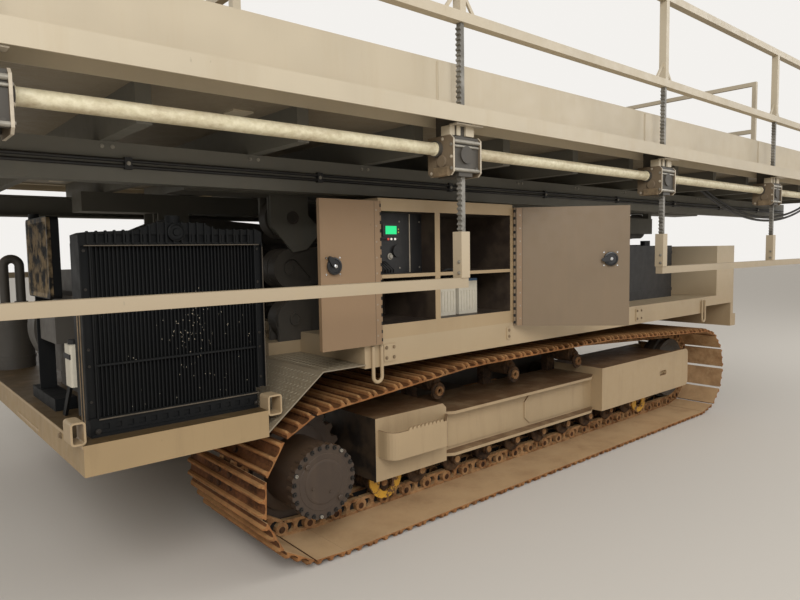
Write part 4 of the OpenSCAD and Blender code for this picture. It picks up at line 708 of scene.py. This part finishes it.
def make_chequer():
    """Lozenges on every upper face of the mudguards, in rows that lean left and right by turns."""
    plates = Solids("chequer_lozenges")
    plates.use("chequer_rib")
    mesh = record_nodes["mudguards"].data
    mesh.calc_loop_triangles()
    for tri in mesh.loop_triangles:
        if tri.normal.z < 0.3:
            continue
        normal = tri.normal.copy()
        across = Vector((0, 1, 0))
        along = across.cross(normal).normalized()
        corners = [mesh.vertices[i].co for i in tri.vertices]
        lift = corners[0].dot(normal)
        for j, y, s in lozenge_places([(c.dot(across), c.dot(along)) for c in corners]):
            turn = math.pi / 4 if j % 2 else -math.pi / 4
            plates.loft([[across * (y + u) + along * (s + v) + normal * (lift + height)
                          for u, v in lozenge_ring(turn, share)] for height, share in ((-0.0005, 1), (LOZENGE_H, 0.6))])
    plates.ride("base")


make_chequer()

# Cabinet: latches, hinge, panel and battery lids

# The cabinet's face is flush with the chassis side
FACE_Y = -1.720
DOOR_T, HINGE_R = 0.025, 0.008
HINGE_Y = FACE_Y - (DOOR_T - HINGE_R) - 0.0003
DOOR_Z, DOOR_H = 1.150, 0.780
CABINET_X0, CABINET_X1 = -2.170, -1.030
RIGHT_OPEN = math.radians(133)
# The shut door's inner face lies this close to the cabinet
FLUSH = 0.00025
# A latch's height as a share of the door's, and its lever's outline from the pivot
LATCH_RISE = 0.56
LEVER = ((0, 0.012), (0.015, 0.016), (0.045, 0.014), (0.060, 0.006), (0.060, -0.006), (0.045, -0.014),
         (0.015, -0.016), (0, -0.012))


def add_latch(door, x, tilt):
    """A round handle on both faces: rim, folding lever, chrome lock and four screws."""
    z = DOOR_H * LATCH_RISE
    cos, sin = math.cos(tilt), math.sin(tilt)
    turned = [(x - p * cos - q * sin, z + p * sin - q * cos) for p, q in LEVER]
    for face, out in ((-DOOR_T - 0.013, -1), (0.012, 1)):
        door.use("handle")
        door.turned([(0, 0.046), (0.006, 0.044), (0.008, 0.036), (0.004, 0.033)], (x, face, z), (0, out, 0), 32)
        door.prism_y(turned, *sorted((face, face + out * 0.016)))
        door.use("rod_chrome")
        door.turned([(0, 0.010), (0.018, 0.010), (0.020, 0.007)], (x, face, z), (0, out, 0), 16)
        for px, pz in circle((x, z), 0.060, 4, math.pi / 4):
            door.screw((px, -DOOR_T if out < 0 else 0, pz), (0, out, 0), 0.005, 0.003)


def add_hinge(door):
    """Dark rings of painted shade in the slots between the knuckles, and leaf screws, of the piano hinge."""
    door.use("shadow_gap")
    slots = 17
    for i in range(slots):
        z = (i + 0.5) * DOOR_H / slots
        door.turned([(-0.009, HINGE_R + 0.0006), (0.009, HINGE_R + 0.0006)], (0, -HINGE_R, z), (0, 0, 1), 12)
    door.use("zinc")
    for face, out, screws, rise in ((-DOOR_T, -1, range(9), FLUSH), (0, 1, (1, 2, 5, 6, 7), 0.002)):
        for i in screws:
            door.screw((0.036, face, 0.05 + i * 0.085), (0, out, 0), 0.0045, rise)


def make_door(name, width, latch_in, tilt, to):
    """A door's fittings, in the door's own space: X from the hinge, Y inwards, Z from the lower edge."""
    door = Solids(name + "_fittings")
    door.to = to
    add_latch(door, width - latch_in, math.radians(tilt))
    add_hinge(door)
    # The hinge leaf in the darker door paint, edged with a dark line of painted shade
    for finish, x0, x1 in (("door_shaded_paint", 0.014, 0.048), ("shadow_gap", 0.048, 0.050)):
        door.use(finish)
        door.box((x0, -DOOR_T - FLUSH / 2, 0.004), (x1, -DOOR_T, DOOR_H - 0.004))
    door.ride(name)


def door_space(x, turn):
    """From a door's own space to the frame's: its hinge's X, and its turn."""
    return Matrix.Translation((x, HINGE_Y, DOOR_Z)) @ turn @ Matrix.Translation((0, HINGE_R, 0))


make_door("door_left", width=0.400, latch_in=0.075, tilt=128,
          to=door_space(CABINET_X0 - 0.005, Matrix.Diagonal((-1, 1, 1, 1))))
make_door("door_right", width=0.735, latch_in=0.120, tilt=-5,
          to=door_space(CABINET_X1, Matrix.Rotation(RIGHT_OPEN - math.pi, 4, "Z")))

# Faces of the panel's sheet and of the raised block that holds the screen
SHEET_Y, BLOCK_Y = -1.600, -1.612
# Battery lids: width, limits in Y, height, step from one to the next, and rim past the case
LID_W, LID_Y0, LID_Y1, LID_H, LID_STEP, LID_RIM = 0.171, -1.6205, -1.2995, 0.016, 0.200, 0.0005


def make_panel_fittings():
    """Screen, lamps, key switch, plate seams and wires of the control panel."""
    panel = Solids("panel_fittings")
    ahead = (0, -1, 0)
    panel.use("handle")
    panel.box((-2.056, BLOCK_Y - 0.006, 1.742), (-1.930, BLOCK_Y + 0.002, 1.812), 0.004)
    panel.use("screen")
    panel.box((-2.035, BLOCK_Y - 0.0075, 1.756), (-1.953, BLOCK_Y - 0.004, 1.803))
    for x, name in ((-2.011, "red_glow"), (-1.988, "lamp_white"), (-1.960, "lamp_white")):
        panel.use(name)
        panel.turned([(0, 0.007), (0.004, 0.006), (0.007, 0.003)], (x, BLOCK_Y, 1.728), ahead, 14)
    panel.use("lamp_amber")
    for z in (1.785, 1.768):
        panel.turned([(0, 0.004), (0.004, 0.002)], (-1.938, BLOCK_Y - 0.005, z), ahead, 10)
    panel.use("zinc")
    panel.turned([(0, 0.020), (0.004, 0.019), (0.006, 0.012), (0.014, 0.011)], (-1.990, SHEET_Y, 1.628), ahead, 24)
    for x in (-2.115, -1.917, -1.760):
        for z in (1.560, 1.830):
            panel.screw((x, SHEET_Y, z), ahead, 0.005, 0.003)
    panel.use("edge_highlight_and_chip")
    panel.box((-1.841, SHEET_Y - 0.003, 1.532), (-1.835, SHEET_Y + 0.001, 1.876), 0.0005)
    panel.use("rubber")
    for k in range(4):
        x = -2.09 + 0.02 * k
        wire = [(x, -1.602, 1.60), (x + 0.01, -1.635, 1.575), (x + 0.03, -1.640, 1.555), (x + 0.05, -1.615, 1.536)]
        panel.tube(bend(wire), 0.004, 8)
    panel.ride("base")


def make_battery_tops():
    """Lids, caps, terminals, clamps and a cable on the two batteries."""
    low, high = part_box("batteries")
    top, lid = high[2], high[2] + LID_H
    piece = Solids("battery_tops")
    for x0 in (low[0] - LID_RIM, low[0] - LID_RIM + LID_STEP):
        piece.use("lid_blue")
        piece.box((x0, LID_Y0, top), (x0 + LID_W, LID_Y1, lid), 0.004)
        for i in range(6):
            piece.turned([(0, 0.012), (0.006, 0.011)], (x0 + 0.085, -1.59 + i * 0.05, lid), (0, 0, 1), 14)
        # The red terminal cover glows like the panel lamp: painted light
        for y, name in ((-1.585, "red_glow"), (-1.335, "handle")):
            piece.use("zinc")
            piece.turned([(0, 0.010), (0.020, 0.009)], (x0 + 0.030, y, lid), (0, 0, 1), 12)
            piece.use(name)
            piece.box((x0 + 0.012, y - 0.016, lid + 0.004), (x0 + 0.052, y + 0.016, lid + 0.018), 0.004)
    piece.use("rubber")
    cable = ((0.03, -1.585, 0.03), (0.10, -1.60, 0.075), (0.18, -1.60, 0.070), (0.23, -1.585, 0.03))
    piece.tube(bend([(low[0] + x, y, top + z) for x, y, z in cable]), 0.007)
    piece.ride("base")


make_panel_fittings()
make_battery_tops()

# Deck: weld seams, rack gearboxes, pipe clips and floor fixings

RACK_XS = [2.040 * i for i in range(-2, 3)]
RACK_Y = 2.220
# Outer faces of the main beams, and of the pipes' clips on the near one
BEAM_Y, CLIP_Y = 1.5205, -1.5415
# A gearbox: torque shaft's axis and its collar's slot, and both faces of the side plates from the rack's middle
SHAFT_Y, SHAFT_Z, SLOT_R = 2.157, 2.155, 0.041
PLATE_IN, PLATE_OUT = 0.0903, 0.1003
PLATE_BOLTS = ((2.195, 2.200), (2.255, 2.168), (2.255, 2.110), (2.255, 2.055), (2.115, 2.040))
# Spacers between the plates: Y, Z, radius
SPACERS = ((2.258, 2.186, 0.010), (2.258, 2.163, 0.006), (2.258, 2.050, 0.009))
# Bracket above: finish, chamfer, low and high corner with X from the rack's middle
BRACKET = (("paint", 0.002, (-0.100, 2.185, 2.2155), (-0.066, 2.245, 2.262)),
           ("paint", 0.002, (-0.058, 2.2445, 2.2155), (-0.034, 2.253, 2.262)),
           ("paint", 0.002, (0.000, 2.2445, 2.2155), (0.058, 2.256, 2.262)),
           # A thin plate under the fascia, pale as a painted highlight
           ("edge_highlight_and_chip", 0.001, (-0.095, 2.235, 2.2625), (0.095, 2.288, 2.2685)))


def gearbox_plate_outline(side):
    """A side plate in Y and Z, with cut corners and a slot that lets the shaft's collar through."""
    outer = [(2.110, 2.022), (2.250, 2.022), (2.268, 2.040), (2.268, 2.197), (2.250, 2.215), (2.090, 2.215),
             (2.090, 2.1755)]
    slot = arc((SHAFT_Y, SHAFT_Z), SLOT_R, math.radians(150), math.radians(-150), 10)
    return [(side * a, b) for a, b in outer + slot + [(2.090, 2.1345), (2.090, 2.042)]]


def add_gearbox(piece, side, x):
    """Two side plates with edges painted pale as highlights, spacers, bolts, a blank cast block and a bracket above."""
    outline = gearbox_plate_outline(side)
    edges = ["edge_highlight_and_chip"] * len(outline)
    for end in (-1, 1):
        axis, face = (end, 0, 0), x + end * PLATE_OUT
        piece.use("gear_plate")
        piece.loft([[(x + end * d, y, z) for y, z in outline] for d in (PLATE_IN, PLATE_OUT)], edges)
        for k, (y, z) in enumerate(PLATE_BOLTS):
            piece.use("edge_highlight_and_chip" if k % 2 == 0 else "zinc")
            piece.bolt((face, side * y, z), axis, 0.0065, 0.006)
        piece.use("gear_plate")
        piece.turned([(0, 0.030), (0.007, 0.030), (0.009, 0.027)], (face, side * 2.192, 2.092), axis, 20)
        piece.use("galvanised")
        collar = (x + end * 0.1205, side * SHAFT_Y, SHAFT_Z)
        piece.turned([(0, 0.034), (0.005, 0.034), (0.006, 0.031)], collar, axis, 20)
    piece.use("zinc")
    for y, z, r in SPACERS:
        piece.turned([(-0.0905, r), (0.0905, r)], (x, side * y, z), (1, 0, 0), 12)
    piece.use("worn_steel_and_highlight")
    block = x - 0.1185
    piece.side_box(side, (block, 2.145, 2.018), (x - PLATE_OUT, 2.245, 2.064), 0.004)
    for y in (2.155, 2.235):
        piece.screw((block, side * y, 2.030), (-1, 0, 0), 0.004, 0.002)
    for finish, edge, low, high in BRACKET:
        piece.use(finish)
        piece.side_box(side, (x + low[0], low[1], low[2]), (x + high[0], high[1], high[2]), edge)


def make_gearbox_fittings():
    """Fittings on each of the ten rack gearboxes."""
    piece = Solids("gearbox_fittings")
    for side in (-1, 1):
        for x in RACK_XS:
            add_gearbox(piece, side, x)
    piece.ride("deck")


def make_edge_seams():
    """Weld beads along the upstand and on each rack post's plate."""
    piece = Solids("edge_seams")
    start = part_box("deck_edges")[0][0] + 0.01
    piece.use("paint")
    for side in (-1, 1):
        piece.tube([(start + i * 0.2, side * 2.109, 2.351 + 0.0012 * (i % 2)) for i in range(45)], 0.0032, 6)
        for x in RACK_XS:
            piece.side_box(side, (x - 0.045, 2.108, 2.352), (x + 0.045, 2.114, 2.602), 0.002)
            for dx in (-0.048, 0.048):
                piece.tube([(x + dx, side * 2.110, 2.36 + i * 0.02) for i in range(13)], 0.003, 6)
    piece.ride("deck")


def make_beam_bolts():
    """Bolt rows under the floor on both main beams, and one on each clip of the pipes."""
    piece = Solids("beam_bolts")
    piece.use("zinc")
    for side in (-1, 1):
        for i in range(13):
            for dx in (-0.022, 0.022):
                piece.bolt((-4.20 + i * 0.70 + dx, side * BEAM_Y, 2.128), (0, side, 0), 0.007, 0.007)
    for i in range(-1, 7):
        piece.bolt((-2.420 + i, CLIP_Y, 2.0595), (0, -1, 0), 0.007, 0.006)
    piece.ride("deck")


make_gearbox_fittings()
make_edge_seams()
make_beam_bolts()

# Chassis and engine bay

# Side beams' outer face, and the rear plate's
CHASSIS_Y, REAR_X = 1.720, -3.7105
# Plates on both side beams: X and Z limits
BRACKETS = ((-2.150, -2.060, 1.045, 1.142), (-1.095, -1.055, 1.062, 1.142), (0.56, 0.66, 1.045, 1.150))
# Rims on the rear plate: Y and Z limits
RIMS = ((-1.726, 1.726, 0.886, 0.899), (-0.920, -0.415, 0.790, 0.804), (0.415, 0.920, 0.790, 0.804))
CORE_X0, CORE_X1, CORE_FACE = -3.667, -2.837, -1.640


def make_chassis_fittings():
    """Bracket plates with bolts along both side beams, and the rear plate's rims and bolts."""
    piece = Solids("chassis_fittings")
    for side in (-1, 1):
        for x0, x1, z0, z1 in BRACKETS:
            piece.use("paint")
            piece.side_box(side, (x0, CHASSIS_Y - 0.004, z0), (x1, CHASSIS_Y + 0.008, z1), 0.003)
            piece.use("worn_steel_and_highlight")
            for x in ((x0 + 0.018, x1 - 0.018) if x1 - x0 > 0.06 else ((x0 + x1) / 2,)):
                for z in (z0 + 0.020, z1 - 0.020):
                    piece.bolt((x, side * (CHASSIS_Y + 0.008), z), (0, side, 0), 0.008, 0.007)
        piece.bolt((REAR_X, side * 1.368, 0.870), (-1, 0, 0), 0.012, 0.011)
    piece.use("paint")
    for y0, y1, z0, z1 in RIMS:
        piece.box((REAR_X - 0.003, y0, z0), (REAR_X + 0.001, y1, z1), 0.001)
    piece.ride("base")


def tank_height(x):
    """Height of the radiator's cast top tank, along its width."""
    outline = ((0.0, 1.746), (0.03, 1.756), (0.28, 1.766), (0.38, 1.800), (0.64, 1.800), (0.72, 1.772), (1.0, 1.772))
    share = (x - CORE_X0) / (CORE_X1 - CORE_X0)
    for (a, low), (b, high) in zip(outline, outline[1:]):
        if share <= b:
            return low + (high - low) * (share - a) / (b - a)
    return outline[-1][1]


def add_core_details(piece):
    """Ribs and a round cap on the top tank, flange edges painted bright as highlights, and stone-chipped fins."""
    piece.use("core_black")
    for i in range(22):
        x = CORE_X0 + 0.035 + i * 0.036
        piece.box((x - 0.004, CORE_FACE - 0.004, 1.708), (x + 0.004, CORE_FACE + 0.012, tank_height(x) + 0.004), 0.002)
    cap = (-3.262, CORE_FACE, 1.758)
    piece.turned([(-0.010, 0.040), (0.008, 0.040), (0.011, 0.034), (0.005, 0.030), (0.005, 0.018), (0.011, 0.015)],
                 cap, (0, -1, 0), 28)
    # Thin strips along the tanks' and the channel's edges, paler as painted highlights
    piece.use("core_edge_highlight")
    for x0, x1, z0, z1 in ((CORE_X0 + 0.045, CORE_X1 - 0.045, 0.972, 0.977),
                           (CORE_X0 + 0.02, CORE_X1 - 0.02, 1.699, 1.703),
                           (CORE_X1 - 0.004, CORE_X1 - 0.001, 1.000, 1.690)):
        piece.box((x0, CORE_FACE - 0.0025, z0), (x1, CORE_FACE + 0.002, z1), 0.0005)
    # Two pale strips down the side channel's flange edges, painted highlights
    piece.use("worn_steel_and_highlight")
    for y in (-1.604, -1.566):
        piece.box((CORE_X0 - 0.003, y - 0.0025, 0.960), (CORE_X0 + 0.001, y + 0.0025, 1.430), 0.0005)
    piece.use("edge_highlight_and_chip")
    draw = random.Random(11)
    for i in range(120):
        if i < 60:
            x, z = draw.gauss(-3.205, 0.055), draw.gauss(1.330, 0.075)
        else:
            x, z = draw.uniform(CORE_X0 + 0.06, CORE_X1 - 0.06), draw.uniform(1.0, 1.5)
        size = draw.uniform(0.0010, 0.0026)
        piece.turned([(-0.002, size), (0.0008, size * 0.7)], (x, CORE_FACE + 0.0160, z), (0, -1, 0), 5)


def make_radiator_fittings():
    """Bolts down the side channels, hoses with clamps and a strap round the bottle."""
    piece = Solids("radiator_fittings")
    add_core_details(piece)
    piece.use("dark_bolt")
    for x in (CORE_X0 + 0.0225, CORE_X1 - 0.0225):
        for z in (1.05, 1.20, 1.27, 1.52, 1.68):
            piece.screw((x, CORE_FACE + 0.018, z), (0, -1, 0), 0.006, 0.004)
    for x in (CORE_X0 + 0.04, CORE_X1 - 0.06):
        piece.bolt((x, CORE_FACE, 0.925), (0, -1, 0), 0.009, 0.008)
    piece.use("rubber")
    upper = bend([(-3.20, -1.52, 1.75), (-3.20, -1.42, 1.80), (-3.24, -1.32, 1.78), (-3.28, -1.22, 1.68)])
    piece.tube(upper, 0.028, 14)
    lower = bend([(-2.93, -1.51, 0.99), (-2.93, -1.42, 1.00), (-2.97, -1.32, 1.05), (-3.03, -1.24, 1.12)])
    piece.tube(lower, 0.024, 14)
    piece.use("zinc")
    for p, ahead in ((upper[2], (0, 1, 0.4)), (upper[-3], (-0.3, 1, -1)),
                     (lower[2], (0, 1, 0)), (lower[-3], (-0.5, 1, 0.6))):
        piece.turned([(-0.006, 0.031), (0.006, 0.031)], p, ahead, 16)
    piece.use("rubber")
    low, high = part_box("expansion_bottle")
    e = 0.003
    piece.box((low[0] - e, low[1] + e, low[2] + 0.120), (high[0] + e, high[1] + e, low[2] + 0.142), 0.001)
    cap = ((low[0] + high[0]) / 2, (low[1] + high[1]) / 2, high[2])
    piece.turned([(0, 0.018), (0.016, 0.018), (0.020, 0.014)], cap, (0, 0, 1), 18)
    piece.ride("base")


def make_sleeve_bolts(side, name):
    """Two bolts low on each rack's sleeve."""
    piece = Solids("sleeve_bolts_" + name)
    piece.use("zinc")
    for x in RACK_XS:
        for z in (1.545, 1.600):
            piece.bolt((x - 0.030, side * (RACK_Y + 0.012), z), (-1, 0, 0), 0.007, 0.007)
    piece.ride("guard_" + name)


make_chassis_fittings()
make_radiator_fittings()
for side, name in SIDES:
    make_sleeve_bolts(side, name)

# Stage

# Area lamps: name, place, size in metres, power in watts
LAMPS = (("key_lamp", (-7, -9, 6.5), 5, 620), ("fill_lamp", (8, -7, 7), 6, 330))
LAMPS_AIM = Vector((0, 0, 1.2))
# The room's colour as light, and as the camera sees it
ROOM_LIGHT, ROOM_POWER, ROOM_SEEN = (1, 0.97, 0.93, 1), 0.50, (0.90, 0.88, 0.85, 1)


def make_stage():
    """A pale floor, and a soft sky of light with two big lamps; the camera sees the sky paler than it lights."""
    bpy.ops.mesh.primitive_plane_add(size=120, location=(0, 0, 0))
    floor = bpy.context.object
    floor.name = "floor"
    s = Shade("floor_pale")
    s.set(base_color=(0.66, 0.62, 0.56), roughness=0.8)
    floor.data.materials.append(MATERIALS["floor_pale"])
    world = bpy.data.worlds.new("soft_room")
    bpy.context.scene.world = world
    world.use_nodes = True
    tree = world.node_tree
    light = tree.nodes["Background"]
    light.inputs["Color"].default_value = ROOM_LIGHT
    light.inputs["Strength"].default_value = ROOM_POWER
    pale = tree.nodes.new("ShaderNodeBackground")
    pale.inputs["Color"].default_value = ROOM_SEEN
    path = tree.nodes.new("ShaderNodeLightPath")
    seen = path.outputs["Is Camera Ray"]
    for ray in ("Is Glossy Ray", "Is Transmission Ray"):
        either = tree.nodes.new("ShaderNodeMath")
        either.operation = "MAXIMUM"
        tree.links.new(seen, either.inputs[0])
        tree.links.new(path.outputs[ray], either.inputs[1])
        seen = either.outputs[0]
    choice = tree.nodes.new("ShaderNodeMixShader")
    tree.links.new(seen, choice.inputs[0])
    tree.links.new(light.outputs[0], choice.inputs[1])
    tree.links.new(pale.outputs[0], choice.inputs[2])
    tree.links.new(choice.outputs[0], tree.nodes["World Output"].inputs["Surface"])
    for name, at, size, power in LAMPS:
        data = bpy.data.lights.new(name, "AREA")
        data.size = size
        data.energy = power
        lamp = bpy.data.objects.new(name, data)
        lamp.location = at
        lamp.rotation_euler = (LAMPS_AIM - Vector(at)).to_track_quat("-Z", "Y").to_euler()
        bpy.context.scene.collection.objects.link(lamp)


make_stage()
bpy.context.scene.view_settings.view_transform = "Standard"
